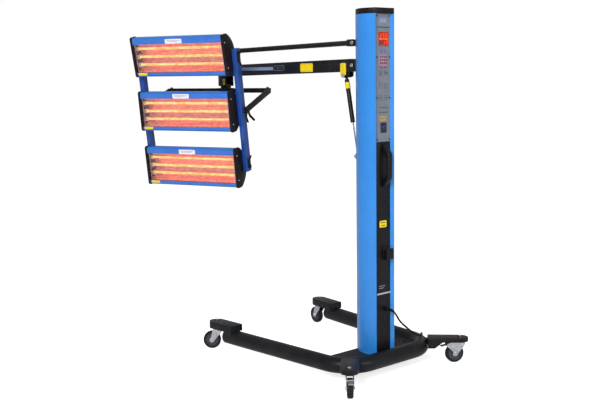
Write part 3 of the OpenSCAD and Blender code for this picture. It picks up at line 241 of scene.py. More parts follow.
# Vinyl labels
vinyl_yellow = surface("vinyl_yellow", "#f2d400", "#e6c700", (0.3, 0.4), 20, 0.8, 0.005)
vinyl_pale = surface("vinyl_pale", "#eceaf4", "#dcd9e8", (0.3, 0.4), 12, 0.8, 0.005)
# Moulded polycarbonate of the main switch, glossy
rocker_navy = surface("polycarbonate_navy", "#2b3350", "#20263e", (0.2, 0.3), 10, 0.8, 0.01)
print("finishes:", len(bpy.data.materials))

# %% [markdown]
# Three things give light. A halogen tube is a quartz pipe round a white-hot wire, and a photograph shows it
# as an orange bar with a yellow core that is uneven along its length. The mirror behind it is gold-coated
# steel that shines pink and red by reflecting the tubes; that reflected light is painted into it as a glow of
# its own. The display shows lit segments through red glass.

# %% Glowing surfaces
PATCH_WIDTH, PATCH_DETAIL = 0.12, 3.0


def glow(name, dim, bright, strength, patch_mm, stretch, **sockets):
    """A surface that gives light, uneven between two colours."""
    made, tree, shader = start_finish(name, Emission_Strength=strength, **sockets)
    place = add(tree, "TexCoord")
    along = add(tree, "Mapping", {"Scale": stretch}, {"Vector": place.outputs["Object"]})
    patches = add(tree, "TexNoise", {"Scale": 1 / (patch_mm * MM), "Detail": PATCH_DETAIL},
                  {"Vector": along.outputs["Vector"]})
    blend = two_colours(tree, patches, dim, bright, PATCH_WIDTH)
    tree.links.new(blend.outputs["Color"], shader.inputs["Emission Color"])
    return made


# Quartz tube over a hot tungsten coil
quartz = glow("quartz_tube_hot", "#ff8a34", "#ffd890", 1.15, 30, (1, 1, 3),
              Base_Color=linear("#ffb060"), Roughness=0.12)
# Gold-coated reflector, with a painted glow that stands in for the tubes' light reflected in it
mirror_painted_glow = glow("gold_reflector_painted_glow", "#cf5a52", "#ee9a90", 0.62, 22, (1, 1, 2),
              Base_Color=linear("#c08880"), Roughness=0.3, Metallic=1.0)
# Lit segments and the dark glass round them
segment_lit = glow("display_segment_lit", "#ff3510", "#ff6a24", 1.6, 12, (1, 1, 1),
                   Base_Color=linear("#c02010"), Roughness=0.3)
display_glass = glow("display_glass_red", "#b81c08", "#e03414", 0.55, 30, (1, 1, 1),
                     Base_Color=linear("#701208"), Roughness=0.15)
print("glowing surfaces ready")

# %% [markdown]
# Each solid of the construction model keeps its shape and only takes its finish. One table says which
# finish goes on which solid, written as a list of names for each finish.

# %% Finishes of the solids
FINISHES = {
    powder_black: ("base_tube leg_tongues arm_bracket strut_foot strut_bracket beam upper_rod head_box "
                   "strut_cylinder yoke_lever_near yoke_lever_far lever_top lever_middle lever_bottom"),
    powder_worn: "base_plate",
    paint_brown: "rear_arms yoke",
    powder_blue: "column",
    powder_deep_blue: "frame_rails",
    lamp_blue: "housing_top housing_middle housing_bottom",
    zinc: ("caster_stems fork_rear_near fork_rear_far fork_front_near fork_front_far "
           "pedal_near pedal_far"),
    chrome: "strut_rod",
    screw_black: "panel_screws",
    anodised: "trim_strip",
    wire: "grille_top grille_middle grille_bottom",
    abs_black: "column_cap rear_cover lower_cover pull_handle cable_hook cable_gland power_unit",
    nylon_warm: "caps_top caps_middle caps_bottom",
    tyre_rubber: "wheel_rear_near wheel_rear_far wheel_front_near wheel_front_far",
    pvc_black: "cord cord_coil plug",
    foil_grey: "control_panel",
    display_glass: "display_window",
    board_green: "control_board",
    mirror_painted_glow: "emitter_top emitter_middle emitter_bottom",
    rocker_navy: "switch_frame switch_rocker",
}
for finish, names in FINISHES.items():
    for name in names.split():
        frame["nodes"][name].data.materials.clear()
        frame["nodes"][name].data.materials.append(finish)
print("solids with a finish:", sum(len(n.split()) for n in FINISHES.values()))

# %% [markdown]
# Some solids are two or three stuffs in one. A wheel's faces are told apart by how far they lie from the
# axle, an emitter's by their place near a tube, and the plug's pins by how far out they are.

# %% Second stuffs on one solid
def face_stuff(node, finish, belongs):
    """Gives a solid's faces another finish wherever the test of a face's centre says so."""
    mesh = frame["nodes"][node].data
    mesh.materials.append(finish)
    for face in mesh.polygons:
        if belongs(face.center):
            face.material_index = len(mesh.materials) - 1


LAMPS = ("top", "middle", "bottom")
WHEELS = ("rear_near", "rear_far", "front_near", "front_far")
TREAD_INNER_R = 33 * MM
for place in WHEELS:
    hub, axle = Vector(joints["roll_" + place]["pos_m"]), Vector(joints["roll_" + place]["axis"])
    face_stuff("wheel_" + place, hub_grey,
               lambda c: ((c - hub) - (c - hub).dot(axle) * axle).length < TREAD_INNER_R)
print("wheels with a hub:", len(WHEELS))

# %% [markdown]
# A cassette's own frame makes a test of its faces simple, because in it the tubes lie along one axis. The
# joints say where that frame is and how it is turned, so nothing has to be measured twice.

# %% The cassettes' own frames
rack_axis = Vector(joints["panel_tilt"]["axis"])
TURN = math.atan2(-rack_axis.x, rack_axis.y)
rack_up = Vector(joints["cassette_top_tilt"]["pos_m"]) - Vector(joints["cassette_bottom_tilt"]["pos_m"])
RACK_TILT = math.atan2((Matrix.Rotation(-TURN, 3, "Z") @ rack_up).x, rack_up.z)
# At rest each cassette is tilted a little on its own pivot, in degrees
LAMP_TILTS = dict(zip(LAMPS, (math.radians(a) for a in (4, -2, -1))))


def lamp_place(lamp):
    """The cassette's own frame: origin on its pivot, +X the way it shines, +Y along its tubes."""
    pivot = Vector(joints[f"cassette_{lamp}_tilt"]["pos_m"])
    return (Matrix.Translation(pivot) @ Matrix.Rotation(TURN, 4, "Z")
            @ Matrix.Rotation(RACK_TILT + LAMP_TILTS[lamp], 4, "Y"))


print("rack turned", math.degrees(TURN), "tilted", math.degrees(RACK_TILT))

# %% [markdown]
# Three quartz tubes cross each mirror and end in ceramic holders. All of it is one solid here, so its faces
# take quartz near a tube's line, alumina past the tubes' ends, and the mirror's gold with its painted glow
# everywhere else.

# %% Tubes, holders, side plates and pins
QUARTZ_X, QUARTZ_R, QUARTZ_ZS, QUARTZ_HALF = 51 * MM, 6 * MM, (46 * MM, 4 * MM, -38 * MM), 252.6 * MM
HOLDER_X, HOLDER_REACH = 38 * MM, 15 * MM
# The side plates of the strut's bracket stand out past the arm, between these two places along it
PLATE_Y, PLATE_LOW_Z, PLATE_XS = 19.9 * MM, 1.3995, (-0.198, -0.158)
PLUG_PINS_Y = 0.4857


def near_tube(point, reach):
    """Says whether a point of the cassette's frame lies near one of the three tubes."""
    return min(math.hypot(point.x - QUARTZ_X, point.z - z) for z in QUARTZ_ZS) < reach


for lamp in LAMPS:
    back = lamp_place(lamp).inverted()
    face_stuff("emitter_" + lamp, quartz,
               lambda c: near_tube(back @ c, QUARTZ_R + MM) and abs((back @ c).y) < QUARTZ_HALF)
    face_stuff("emitter_" + lamp, ceramic,
               lambda c: abs((back @ c).y) >= QUARTZ_HALF and (back @ c).x > HOLDER_X
               and near_tube(back @ c, HOLDER_REACH))
face_stuff("strut_bracket", enamel_yellow,
           lambda c: abs(c.y) > PLATE_Y and c.z > PLATE_LOW_Z and PLATE_XS[0] < c.x < PLATE_XS[1])
face_stuff("plug", nickel, lambda c: c.y > PLUG_PINS_Y)
print("tubes of each cassette:", len(QUARTZ_ZS))

# %% [markdown]
# The cord is one length of three-core cable. It leaves the gland, sags across the base and goes down
# behind the far leg, where the rest of it is wound in four layers. Its centreline repeats the
# construction's route, smoothed by the same spline, so the round tube lies exactly where it should.

# %% Cord route
CORD_ROUTE = [(88, 10, 300), (98, 10, 300), (109, 10.7, 298.3), (119.5, 12.7, 293), (128, 16, 284),
              (132.5, 21.5, 272.5), (133.5, 29, 260), (132, 39.5, 248.5), (129, 52.5, 237),
              (125, 67, 226), (120, 86, 213), (114, 107, 199), (108, 129, 184), (102, 152, 169),
              (96, 176, 155), (89, 200, 143), (81, 223, 133.5), (71, 246, 127), (59, 267, 123.3),
              (46, 286, 121.8), (33, 303, 118), (20, 319.5, 109.4), (9, 332.5, 91), (1, 341, 64),
              (-6, 346.5, 37), (-18, 350.5, 16), (-36, 351, 6), (-58, 348.6, 4.75), (-76, 346.6, 4.75),
              (-86, 346, 4.75), (-96, 346, 4.75)]
CORD_D = 9
COIL_CENTRE, COIL_R, COIL_PITCH, COIL_RISE, COIL_LOW = (-105, 408), 62, 9.7, 9.6, 4.75
LAYER_TURNS, LAYERS, LAST_TURNS, LAST_LEVEL, RINGS, COIL_TAIL = 2.5, 4, 1.25, 1, 32, 20
CLIMB_TURNS, DROP_TURNS = 0.5, 0.6
ROUTE_STEPS = 4


def spline_point(a, b, c, d, t):
    """A point between b and c on a smooth curve that also minds the points a and d."""
    return 0.5 * (2 * b + (c - a) * t + (2 * a - 5 * b + 4 * c - d) * t ** 2
                  + (3 * b - a - 3 * c + d) * t ** 3)


def smoothed(points, steps):
    """The points with more between them, all on one smooth curve."""
    last = len(points) - 1
    return [spline_point(points[max(i - 1, 0)], points[i], points[i + 1], points[min(i + 2, last)], k / steps)
            for i in range(last) for k in range(steps)] + [points[last]]


route = smoothed([Vector(p) for p in CORD_ROUTE], ROUTE_STEPS)
print("route over the base:", len(route), "points")

# %% [markdown]
# The spare cable is wound like a flat spiral that goes in and out again, and climbs by one cable's
# thickness where it turns back. A formula gives its points: the angle grows evenly, the radius goes in
# and out, and the height is a sum of short ramps.

# %% Coil
def ramp(x):
    """Stays 0, climbs to 1, stays 1."""
    return min(max(x, 0), 1)


def coil_point(u):
    """A point of the coil after u turns: in and out again, climbing where the spiral turns back."""
    full = LAYER_TURNS * LAYERS
    v = u % (2 * LAYER_TURNS)
    fold = v if v < LAYER_TURNS else 2 * LAYER_TURNS - v
    r = COIL_R - COIL_PITCH * fold if u <= full else COIL_R + COIL_PITCH * (u - full)
    level = sum(ramp((u - k * LAYER_TURNS) / CLIMB_TURNS + 0.5) for k in range(1, LAYERS))
    level -= (LAYERS - 1 - LAST_LEVEL) * ramp((u - full - LAST_TURNS + DROP_TURNS) / CLIMB_TURNS)
    a = math.radians(-90 - 360 * u)
    return Vector((COIL_CENTRE[0] + r * math.cos(a), COIL_CENTRE[1] + r * math.sin(a),
                   COIL_LOW + COIL_RISE * level))


turn_count = LAYER_TURNS * LAYERS + LAST_TURNS
coil = [coil_point(i / RINGS) for i in range(int(turn_count * RINGS) + 1)]
coil.append(coil[-1] + Vector((0, COIL_TAIL, 0)))
centreline = [MM * p for p in route + coil]

# %% [markdown]
# A cord is best drawn as a curve: a line of points with a round section, which stays round in every bend.
# Its radius can change from point to point, and the boot below uses that.

# %% Cord
def deselect():
    """An operator acts on all that is selected, so each step starts with nothing selected."""
    bpy.ops.object.select_all(action="DESELECT")


def round_bar(name, points, radius, thickness=None, sides=3):
    """A round bar along a line of points, with a share of its radius at each point."""
    data = bpy.data.curves.new(name, "CURVE")
    data.dimensions, data.bevel_depth, data.bevel_resolution = "3D", radius, sides
    data.use_fill_caps = True
    line = data.splines.new("POLY")
    line.points.add(len(points) - 1)
    for i, (point, place) in enumerate(zip(line.points, points)):
        point.co = (*place, 1)
        point.radius = thickness[i] if thickness else 1
    made = bpy.data.objects.new(name, data)
    bpy.context.scene.collection.objects.link(made)
    return made


cord = round_bar("mains_cord", centreline, CORD_D / 2 * MM)
cord.data.materials.append(pvc_black)
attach(cord, "stand")
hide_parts("cord", "cord_coil")
print("cord drawn as one spline of", len(cord.data.splines[0].points), "points")

# %% [markdown]
# Where the cable leaves the gland it bends each time somebody moves the stand, so a ribbed boot holds
# it. The boot is a bar along the cord's own line, thick at the gland and thin at its end, with a groove
# every few millimetres.

# %% Boot of the cord
BOOT_MM, BOOT_R, BOOT_END_R, BOOT_STEP = 36, 8.4, 5.3, 0.5
RIB_MM, GROOVE_MM, GROOVE_SHARE, COLLAR_MM = 4, 1.2, 0.12, 3


def along(points, wanted):
    """The point at a distance along a line of points."""
    for a, b in zip(points, points[1:]):
        step = (b - a).length
        if wanted <= step:
            return a.lerp(b, wanted / step)
        wanted -= step
    return points[-1]


def boot_share(mark):
    """The boot's radius at a distance from the gland, as a share of its largest radius."""
    groove = GROOVE_SHARE if mark % RIB_MM < GROOVE_MM and mark > COLLAR_MM else 0
    return 1 + (BOOT_END_R / BOOT_R - 1) * mark / BOOT_MM - groove


boot_marks = [BOOT_STEP * i for i in range(int(BOOT_MM / BOOT_STEP) + 1)]
boot_points = [along(centreline, mark * MM) for mark in boot_marks]
boot_shares = [boot_share(mark) for mark in boot_marks]
boot = round_bar("cord_boot", boot_points, BOOT_R * MM, boot_shares, 4)
print("boot:", BOOT_MM, "mm long")

# %% [markdown]
# Every added piece goes the same way: it is shaped in edit mode, smoothed by angle, and put at its place
# with that place left in its mesh, as the solids have it. These helpers do that, and the boot is the
# first piece to use them: its curve becomes a mesh with its faces turned outward.

# %% Shaping and placing
def made_mesh(piece):
    """Turns a curve piece into a mesh."""
    deselect()
    piece.select_set(True)
    bpy.context.view_layer.objects.active = piece
    bpy.ops.object.convert(target="MESH")
    return bpy.context.view_layer.objects.active


def edit(piece, *steps, smooth=30):
    """Runs edit-mode steps on a piece whose mesh is selected all over, then smooths by angle."""
    deselect()
    piece.select_set(True)
    bpy.context.view_layer.objects.active = piece
    bpy.ops.object.mode_set(mode="EDIT")
    bpy.ops.mesh.select_all(action="SELECT")
    for step in steps:
        step()
    bpy.ops.object.mode_set(mode="OBJECT")
    if smooth:
        bpy.ops.object.shade_smooth_by_angle(angle=math.radians(smooth))
    return piece


def outward():
    """Turns all faces so that they point out of the piece."""
    bpy.ops.mesh.normals_make_consistent(inside=False)


def dressed(piece, finish, body, place=Matrix.Identity(4)):
    """Puts a piece at its place, leaves the place in its mesh, and gives it finish and body."""
    piece.data.transform(place @ piece.matrix_basis)
    piece.matrix_basis = Matrix.Identity(4)
    if finish:
        piece.data.materials.clear()
        piece.data.materials.append(finish)
    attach(piece, body)
    return piece


boot = dressed(edit(made_mesh(boot), outward), pvc_black, "stand")
print("boot finished,", len(boot.data.vertices), "vertices")

# %% [markdown]
# Most added pieces are of two kinds. The first is a slab: a cube whose upright edges are rounded and whose
# top edge is broken, as a label, a key or a plate is. The edges to round are found by their direction.

# %% Slabs
# A face counts as flat when its normal stands nearly upright; points touch when they are this close, in m
FLAT, TOUCH = 0.9, 1e-6


def chosen(piece, test, kind="EDGE"):
    """Selects the edges or faces of the piece in edit mode that pass a test."""
    bpy.ops.mesh.select_all(action="DESELECT")
    bpy.ops.mesh.select_mode(type=kind)
    shape = bmesh.from_edit_mesh(piece.data)
    for part in (shape.edges if kind == "EDGE" else shape.faces):
        part.select_set(test(part))
    bmesh.update_edit_mesh(piece.data)


def upright_edge(edge):
    """Says whether an edge rises more than it goes sideways."""
    a, b = (v.co for v in edge.verts)
    return abs(a.z - b.z) > max(abs(a.x - b.x), abs(a.y - b.y))


def slab(name, length, width, thick, corner, edge=0.0, corners=4):
    """A flat piece on its own z 0, with rounded corners and a broken top edge, sizes in mm."""
    deselect()
    bpy.ops.mesh.primitive_cube_add(size=1, location=(0, 0, thick * MM / 2))
    piece = bpy.context.view_layer.objects.active
    piece.name = name
    piece.scale = (length * MM, width * MM, thick * MM)
    bpy.ops.object.transform_apply(location=True, rotation=False, scale=True)

    def round_corners():
        chosen(piece, upright_edge)
        bpy.ops.mesh.bevel(offset=corner * MM, segments=corners, affect="EDGES")

    def break_top():
        top = thick * MM
        chosen(piece, lambda e: all(abs(v.co.z - top) < TOUCH for v in e.verts))
        bpy.ops.mesh.bevel(offset=edge * MM, segments=2, affect="EDGES")

    return edit(piece, round_corners, *([break_top] if edge else []))


print("slabs can be made")

# %% [markdown]
# A slab whose two flat sides are inset and bridged is open from top to bottom, and so becomes a rim or a
# band. A copy gets its own mesh, because each piece leaves its place in its mesh.

# %% Rims, copies and joins
def hollowed(piece, wall):
    """Opens a slab from its top to its bottom, which leaves a rim of one width, in mm."""
    def cut():
        chosen(piece, lambda face: abs(face.normal.z) > FLAT, "FACE")
        bpy.ops.mesh.inset(thickness=wall * MM)
        bpy.ops.mesh.bridge_edge_loops()

    return edit(piece, cut)


def copied(piece, name):
    """A copy of a piece with its own mesh."""
    made = piece.copy()
    made.data = piece.data.copy()
    made.name = name
    bpy.context.scene.collection.objects.link(made)
    return made


def joined(name, pieces):
    """Several pieces as one."""
    deselect()
    for piece in pieces:
        piece.select_set(True)
    bpy.context.view_layer.objects.active = pieces[0]
    bpy.ops.object.join()
    made = bpy.context.view_layer.objects.active
    made.name = name
    return made


print("rims, copies and joins can be made")

# %% [markdown]
# The second kind is a turned piece. It starts as a disc that is extruded and scaled ring by ring, as a
# lathe would cut it: washers, bolt heads and screws. With six sides instead of many it is a hexagon.

# %% Turned pieces
def turned_piece(name, rings, sides=32, smooth=35):
    """A round piece from (radius, height) rings in mm, closed at both ends, standing on its z 0."""
    deselect()
    r, z = rings[0]
    bpy.ops.mesh.primitive_circle_add(vertices=sides, radius=r * MM, fill_type="NGON", location=(0, 0, 0))
    piece = bpy.context.view_layer.objects.active
    piece.name = name

    def grow():
        r0, z0 = rings[0]
        for r1, z1 in rings[1:]:
            bpy.ops.mesh.extrude_region_move(TRANSFORM_OT_translate={"value": (0, 0, (z1 - z0) * MM)})
            bpy.ops.transform.resize(value=(r1 / r0, r1 / r0, 1))
            r0, z0 = r1, z1
        bpy.ops.mesh.select_all(action="SELECT")
        outward()

    edit(piece, grow, smooth=smooth)
    piece.data.transform(Matrix.Translation((0, 0, z * MM)))
    return piece


def looking(origin, z_axis, x_axis=(0, 0, 1)):
    """A frame at a place with its z along one direction and its x near another."""
    z = Vector(z_axis).normalized()
    y = z.cross(Vector(x_axis)).normalized()
    return Matrix.Translation(origin) @ Matrix((y.cross(z), y, z)).transposed().to_4x4()


print("turned pieces can be made")

# %% [markdown]
# Sharp edges give a computer model away: on a real moulding or a bent tube each edge is a small round
# that catches the light. For the pieces whose edges show, a copy of the solid is merged from its loose
# triangles, its flat faces are made whole again, and a bevel rounds the edges by their real radius.

# %% Rounded copies of solids
MERGE_M, FLAT_DEGREES = 1e-5, 1.5


def rounded(node, radius_mm, finish, angle=35, segments=2):
    """A copy of a solid with rounded edges, which stands for it."""
    source = frame["nodes"][node]
    piece = copied(source, node + "_finished")
    piece.parent = None
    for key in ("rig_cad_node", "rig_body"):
        del piece[key]

    def clean():
        bpy.ops.mesh.remove_doubles(threshold=MERGE_M)
        bpy.ops.mesh.dissolve_limited(angle_limit=math.radians(FLAT_DEGREES))

    edit(piece, clean, smooth=0)
    bevel = piece.modifiers.new("edges", "BEVEL")
    bevel.width, bevel.segments, bevel.limit_method = radius_mm * MM, segments, "ANGLE"
    bevel.angle_limit = math.radians(angle)
    bpy.ops.object.modifier_apply(modifier="edges")
    bpy.ops.object.shade_smooth_by_angle(angle=math.radians(angle))
    dressed(piece, finish, source["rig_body"])
    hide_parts(node)
    return piece


rounded("pull_handle", 2.5, abs_black)
rounded("cable_hook", 1.2, abs_black)
rounded("column_cap", 2.0, abs_black)
rounded("head_box", 1.2, powder_black)
rounded("yoke", 1.2, paint_brown)
rounded("frame_rails", 2.0, powder_deep_blue)
rounded("beam", 1.5, powder_black)
for lamp in LAMPS:
    rounded("caps_" + lamp, 1.5, nylon_warm)
rounded("rear_arms", 2.5, paint_brown)
rounded("leg_tongues", 3.0, powder_black)
rounded("arm_bracket", 1.0, powder_black)
rounded("upper_rod", 1.2, powder_black)
rounded("column", 1.6, powder_blue, angle=25)
rounded("rear_cover", 0.8, abs_black)
rounded("lower_cover", 0.8, abs_black)
plug = rounded("plug", 0.8, None)
print("rounded copies made")

# %% [markdown]
# A key foil is printed polyester over dome switches: flat, with fields and keys told apart by colour. The
# marks here are plain bars and blocks. The column's rear face looks along +X, so one frame places them
# all, and prints that lie on others are a fifth of a millimetre higher, so that none hides in another.

# %% Key foil
# Turns a flat piece so that its x lies along +Y, its y is up and its top looks along +X
FACE_ON = Matrix(((0, 0, 1, 0), (1, 0, 0, 0), (0, 1, 0, 0), (0, 0, 0, 1)))
PRINT_MM, LEVEL_MM, CORNER_SHARE = 0.3, 0.2, 0.16
KEY_OUTER, KEY_INNER = (24, 22), (20, 18)


def rear_axis(node):
    """A frame on the face of a solid that looks along +X, its x along +Y and its y up."""
    return Matrix.Translation((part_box(node)[1].x, 0, 0)) @ FACE_ON


PANEL_AXIS = rear_axis("control_panel")


def on_panel(name, y, z, length, height, finish, corner):
    """A slab on the column's rear face, its centre at y and z in mm, its length along y."""
    piece = slab(name, length, height, PRINT_MM, corner)
    dressed(piece, finish, "stand", PANEL_AXIS @ Matrix.Translation((y * MM, z * MM, 0)))


# %% [markdown]
# Screen-printed ink is half matt and lies a little unevenly, so each ink gets clouds of its own. A set of
# signs is many small slabs joined into one piece, because on the real panel they are one film.

# %% Inks and prints
def ink(name, light, dark):
    """Screen-printed ink: half matt, a little uneven where the squeegee left more or less of it."""
    return surface(name, light, dark, (0.42, 0.56), 7, 0.4, 0.004)


ink_dark = ink("screen_ink_dark_grey", "#3d404a", "#31343d")
ink_blue = ink("screen_ink_blue", "#4468ba", "#385bab")
ink_pink = ink("screen_ink_rose", "#bd768f", "#ad6680")
ink_amber = ink("screen_ink_amber", "#c0a150", "#ae9043")
ink_steel = ink("screen_ink_steel_blue", "#8796b6", "#7484a6")


def printed(name, place, body, rows):
    """Flat labels and signs as one piece; each row is x, y, length, height in mm, finish and level."""
    pieces = []
    for x, y, length, height, finish, level in rows:
        piece = slab(name, length, height, PRINT_MM, CORNER_SHARE * min(length, height), corners=3)
        piece.data.materials.append(finish)
        piece.data.transform(Matrix.Translation((x * MM, y * MM, LEVEL_MM * level * MM)))
        pieces.append(piece)
    return dressed(joined(name, pieces), None, body, place)


def key(x, y, sign_length, sign_height):
    """A key's outline with a plain sign in it."""
    return [(x, y, *KEY_OUTER, ink_dark, 0), (x, y, *KEY_INNER, foil_grey, 1),
            (x, y, sign_length, sign_height, ink_dark, 2)]


print("inks ready")

# %% [markdown]
# The panel is laid out from top to bottom: a rule and a header, coloured fields, three rows of keys, and
# small blocks. Each row of the table is a place and a size, so the layout can be read and changed at once.

# %% Signs of the panel
on_panel("panel_rule", 0, 1614, 84, 3.2, screw_black, 0.4)
on_panel("panel_header", 0, 1644, 44, 20, ink_steel, 3)
# Two blue fields, the rose field with its blocks, and the bars under it
signs = [(-12, 1506, 13, 14, ink_blue, 0), (12, 1506, 9, 14, ink_blue, 0), (0, 1465, 50, 46, ink_pink, 0)]
signs += [(x, z, 9, 8, ink_dark, 1) for x in (-17, -4, 9, 20) for z in (1452, 1466, 1480)]
signs += [(x, 1432, 16, 5, ink_dark, 0) for x in (-13, 12)]
# Three rows of keys, two rows of blocks, and the amber field
for z, tall in ((1407, 13), (1348, 4), (1294, 9)):
    signs += key(-17, z, 5, tall) + key(19, z, 12, tall / 2 + 1)
signs += [(x, z, 7, 6, ink_dark, 0) for x in (-22, -10, 2, 14, 24) for z in (1249, 1227)]
signs += [(-1, 1199, 42, 19, ink_amber, 0)] + [(x, 1199, 6, 9, ink_dark, 1) for x in (-14, -1, 12)]
printed("panel_signs", PANEL_AXIS, "stand", signs)
print("panel signs:", len(signs))

# %% [markdown]
# A display makes each digit from seven short bars and lights some of them. Every lit bar is a thin slab on
# the glass, so the digits are real shapes from any side. Named bars make the table of digits readable.

# %% Lit display
# Seven bars make a digit; the words say which bars of it are lit
BARS = {"top": (0, 8, 6, 1.8), "mid": (0, 0, 6, 1.8), "low": (0, -8, 6, 1.8), "nw": (-4, 4, 1.8, 6),
        "ne": (4, 4, 1.8, 6), "sw": (-4, -4, 1.8, 6), "se": (4, -4, 1.8, 6)}
DIGITS = ("top ne mid sw low", "top nw mid se low", "top nw ne low sw se", "ne se", "top ne mid se low")
DIGIT_PLACES = ((-17, 16), (2, 16), (21, 16), (4, -16), (22, -16))
low_corner, high_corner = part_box("display_window")
middle_z = (low_corner.z + high_corner.z) / 2 / MM
bars = [(2, middle_z, 56, 5, segment_lit, 0), (-17, middle_z - 16, 20, 20, ink_dark, 0)]
for words, (x, z) in zip(DIGITS, DIGIT_PLACES):
    for dx, dz, width, height in (BARS[word] for word in words.split()):
        bars.append((x + dx, middle_z + z + dz, width, height, segment_lit, 1))
printed("display_digits", rear_axis("display_window"), "stand", bars)
print("lit bars:", len(bars))

# %% [markdown]
# Vinyl labels are thin films with rounded corners. Those on the covers, the arm and the head have their
# colour, size and place, and at most plain bars and blocks on them. The strut wears a band of the same film.

# %% Labels
printed("cover_labels", rear_axis("rear_cover"), "stand",
        [(-3, 707, 46, 32, vinyl_yellow, 0), (-3, 714, 34, 4, ink_dark, 1), (-3, 700, 26, 4, ink_dark, 1),
         (0, 407, 76, 40, paint_brown, 0), (-10, 412, 40, 3, ink_steel, 1), (-14, 402, 32, 3, ink_steel, 1)])


def side_axis(node):
    """A frame on the near side of a solid, its x along the machine and its y up."""
    return looking(Vector((0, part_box(node)[0].y, 0)), (0, -1, 0), (1, 0, 0))


printed("arm_labels", side_axis("beam"), "arm",
        [(-858, 1435, 300, 17, ink_steel, 0), (-660, 1437, 80, 24, ink_steel, 0),
         (-660, 1437, 77, 21, powder_black, 1), (-668, 1437, 26, 9, ink_dark, 2),
         (-640, 1437, 14, 9, ink_dark, 2), (-445, 1437, 95, 42, vinyl_yellow, 0),
         (-445, 1437, 88, 35, ink_amber, 1), (-445, 1437, 85, 32, vinyl_yellow, 2)])
printed("head_label", side_axis("head_box"), "head",
        [(-1128, 1367, 20, 32, vinyl_yellow, 0), (-1128, 1369, 9, 12, ink_dark, 1)])
# The strut's two ends, and the band as rings of radius and distance from the upper end
strut_top, strut_foot = Vector((-178, 0, 1396)) * MM, Vector((-104, 0, 1015)) * MM
tag = turned_piece("strut_tag", [(11.1, 32), (11.5, 32.5), (11.5, 61.5), (11.1, 62)])
dressed(tag, vinyl_yellow, "strut_outer", looking(strut_top, strut_foot - strut_top, (0, 1, 0)))
print("labels placed")

# %% [markdown]
# The guard before each lamp is a steel rim with straight wires welded across it every eight millimetres.
# One wire is modelled, an array repeats it, and the second row lies over the first. The labels on the
# cassette's front go on in the same frame.

# %% Wire guards
GUARD_X, GUARD_MID, GUARD_L, GUARD_H, PITCH, WIRE_R = 76.7, 6, 531, 174, 8, 0.6
RIM_MM, RIM_CORNER, RIM_WIDTH, WIRE_SHORT, WIRE_LIFTS = 1.8, 4, 7, 8, (0.6, 1.7)
WIRE_SIDES, WIRE_SMOOTH, LAMP_FACE_X = 8, 60, 85
LAMP_LABELS = [(-14, 87, 100, 24, vinyl_pale, 0), (-14, 91, 76, 2, ink_steel, 1),
               (-20, 85, 64, 2, ink_steel, 1), (-232, -81, 54, 13, vinyl_yellow, 0)]


def wire_row(count, length, across, lift):
    """Parallel wires on the guard's own plane, lying along x or, if across, along y."""
    deselect()
    bpy.ops.mesh.primitive_cylinder_add(vertices=WIRE_SIDES, radius=WIRE_R * MM, depth=length * MM,
                                        location=(0, 0, 0))
    row = bpy.context.view_layer.objects.active
    row.data.transform(Matrix.Rotation(math.pi / 2, 4, "X" if across else "Y"))
    start = -(count - 1) * PITCH / 2 * MM
    row.data.transform(Matrix.Translation((start if across else 0, 0 if across else start, lift * MM)))
    array = row.modifiers.new("wires", "ARRAY")
    array.count, array.use_relative_offset, array.use_constant_offset = count, False, True
    array.constant_offset_displace = (PITCH * MM if across else 0, 0 if across else PITCH * MM, 0)
    bpy.ops.object.modifier_apply(modifier="wires")
    bpy.ops.object.shade_smooth_by_angle(angle=math.radians(WIRE_SMOOTH))
    return row


rim = hollowed(slab("guard", GUARD_L, GUARD_H, RIM_MM, RIM_CORNER), RIM_WIDTH)
upright_wires = wire_row(int(GUARD_L / PITCH) - 1, GUARD_H - WIRE_SHORT, True, WIRE_LIFTS[0])
level_wires = wire_row(int(GUARD_H / PITCH) - 1, GUARD_L - WIRE_SHORT, False, WIRE_LIFTS[1])
guard = joined("guard", [rim, upright_wires, level_wires])
for lamp in LAMPS:
    piece = copied(guard, "guard_" + lamp)
    place = lamp_place(lamp) @ Matrix.Translation((GUARD_X * MM, 0, GUARD_MID * MM)) @ FACE_ON
    dressed(piece, wire, frame["nodes"]["grille_" + lamp]["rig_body"], place)
    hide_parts("grille_" + lamp)
    face = lamp_place(lamp) @ Matrix.Translation((LAMP_FACE_X * MM, 0, 0)) @ FACE_ON
    printed("lamp_labels_" + lamp, face, frame["nodes"]["housing_" + lamp]["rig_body"], LAMP_LABELS)
bpy.data.objects.remove(guard)
print("guards in place")

# %% [markdown]
# In the photograph the hoods over the legs' front ends are closed where they meet the tube. A block with
# rounded edges, welded in under each hood, closes them here.

# %% Hood blocks
LEG_END, LEG_END_Y, SPLAY, BLOCK_MID, BLOCK_Z = -700, 350.8, math.radians(4.8), 30, 94
# Length, width, height, corner radius and broken edge
BLOCK = (52, 69, 45, 6, 2)
for side, name in ((-1, "near"), (1, "far")):
    block = slab("hood_block_" + name, *BLOCK)
    leg_way = Vector((math.cos(SPLAY), -side * math.sin(SPLAY), 0))
    start = Vector((LEG_END, side * LEG_END_Y, BLOCK_Z)) + leg_way * BLOCK_MID
    dressed(block, powder_black, "stand", looking(start * MM, (0, 0, 1), leg_way))
print("hood blocks under both hoods")

# %% [markdown]
# A pivot that is opened with a spanner shows a washer and a hexagon head at each end. One bolt head is
# modelled, and copies of it sit where each pin comes out of the metal that carries it, found by measuring
# how far that solid reaches along the pivot's line.

# %% Bolt heads
washer = turned_piece("bolt_head", [(8.6, 0), (9.2, 0.3), (9.2, 1.3), (8.8, 1.6)])
hexagon = turned_piece("hexagon", [(7.4, 1.6), (7.4, 5.6), (6.4, 6.6)], sides=6)
bolt_head = joined("bolt_head", [washer, hexagon])


